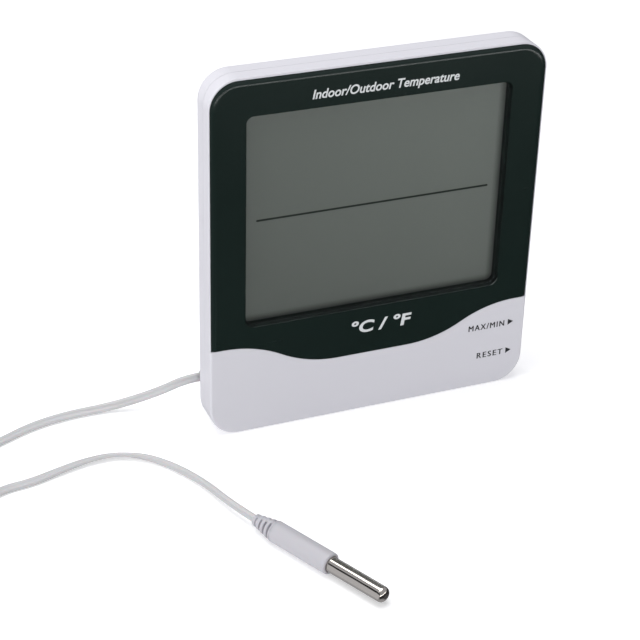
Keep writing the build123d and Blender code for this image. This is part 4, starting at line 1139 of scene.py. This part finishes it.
WHITE = Finish("white_abs", (0.715, 0.707, 0.75), 0.38, specular=0.35, dust=0.03, drift=0.012)
GREEN = Finish(
    "dark_green_abs", (0.0054, 0.0158, 0.0125), 0.24, grain_depth=0.03, drift=0.12, dust=0.01, scuffs=0.1
)
PANE = ClearPane("clear_acrylic", (0.97, 0.985, 0.975), 0.06, spread=0.05, scuffs=0.05, reflection=0.8)
FILM = DisplayFilm(
    "grey_polariser", (0.276, 0.286, 0.270), 0.6, specular=0.15, scuffs=0.02, dust=0.0, grain_depth=0.01
)
GLASS = Finish("display_glass", (0.25, 0.29, 0.26), 0.08, dust=0.0)
MIRROR = Finish("satin_reflector", (0.42, 0.44, 0.42), 0.35, metallic=0.6, dust=0.0)
LINE_INK = Finish("display_line", (0.032, 0.038, 0.034), 0.5, dust=0.0, specular=0.2)
RUBBER = ContactRubber("layered_rubber", (0.62, 0.52, 0.58), 0.6, dust=0.0)
INNER = Finish("inner_moulding", (0.70, 0.70, 0.71), 0.5, dust=0.0)
BOARD = CircuitLaminate("circuit_laminate", (0.02, 0.14, 0.05), 0.3, dust=0.0)
BLACK = Finish("black_moulding", (0.02, 0.02, 0.022), 0.45, dust=0.02)
RESIN = Finish("black_resin", (0.012, 0.012, 0.013), 0.22, dust=0.0, grain_depth=0.3, grain_scale=500.0)
CERAMIC = Finish("chip_ceramic", (0.34, 0.26, 0.18), 0.5, dust=0.0)
STEEL = Finish("zinc_plated_steel", (0.62, 0.62, 0.64), 0.32, metallic=1.0, dust=0.03)
SPRING = Finish("nickel_spring", (0.72, 0.71, 0.69), 0.22, metallic=1.0, dust=0.0)
JACKET = BandedJacket("cell_sleeve", (0.03, 0.05, 0.16), 0.3, metallic=0.3, dust=0.0, band_from=13.0)
RED = Finish("red_insulation", (0.5, 0.02, 0.02), 0.4, dust=0.0)
BLACK_WIRE = Finish("black_insulation", (0.02, 0.02, 0.02), 0.4, dust=0.0)
GROMMET = Finish("pale_grommet", (0.66, 0.66, 0.69), 0.5, dust=0.05)
LEAD = Finish("lead_pvc", (0.57, 0.57, 0.575), 0.36, drift=0.04, dust=0.03, subsurface=0.15)
TIE = Finish("tie_nylon", (0.75, 0.75, 0.74), 0.45, subsurface=0.2)
GRIP = Finish("grip_pvc", (0.52, 0.51, 0.54), 0.42, drift=0.02, dust=0.04, subsurface=0.05)
NICKEL = DrawnMetal("nickel_sheath", (0.68, 0.64, 0.585), 0.1, metallic=1.0, heading=PROBE_ANGLE, dust=0.0)
POTTING = Finish("epoxy_filling", (0.08, 0.08, 0.08), 0.5, dust=0.0)
PALE_INK = Finish("pale_print", (0.72, 0.74, 0.74), 0.5, dust=0.0)
DARK_INK = Finish("dark_print", (0.012, 0.014, 0.018), 0.5, dust=0.0)

CASE_FINISHES = (
    (WHITE, ("front_case", "rear_case", "battery_door", "stand_leg", "button_maxmin", "button_reset")),
    (BLACK, ("unit_switch_slider",)),
    (GREEN, ("bezel",)),
    (PANE, ("window_lens",)),
    (BOARD, ("circuit_board",)),
    (BLACK, ("push_switches", "plunger_maxmin", "plunger_reset", "unit_switch_body")),
    (RESIN, ("chip_cover", "indoor_sensor")),
    (STEEL, ("timing_crystal", "board_screws", "case_screws")),
    (CERAMIC, ("capacitors", "resistors")),
    (JACKET, ("battery_cell",)),
    (SPRING, ("battery_plate", "battery_spring")),
    (RED, ("battery_wire_plus",)),
    (BLACK_WIRE, ("battery_wire_minus",)),
    (GROMMET, ("lead_gland",)),
    (LEAD, ("lead_inner",)),
)


def main() -> None:
    """Builds the studio and every sub-assembly in order."""
    logging.basicConfig(level=logging.INFO, format="%(name)s: %(message)s")
    Studio().build()
    ProbeGrip().build(GRIP, NICKEL, POTTING, RESIN)
    SensorLead().build(LEAD, TIE)
    dress_case(CASE_FINISHES)
    Display().build(FILM, GLASS, MIRROR, LINE_INK, RUBBER, INNER)
    Lettering().build(PALE_INK, DARK_INK)


if __name__ == "__main__":
    main()
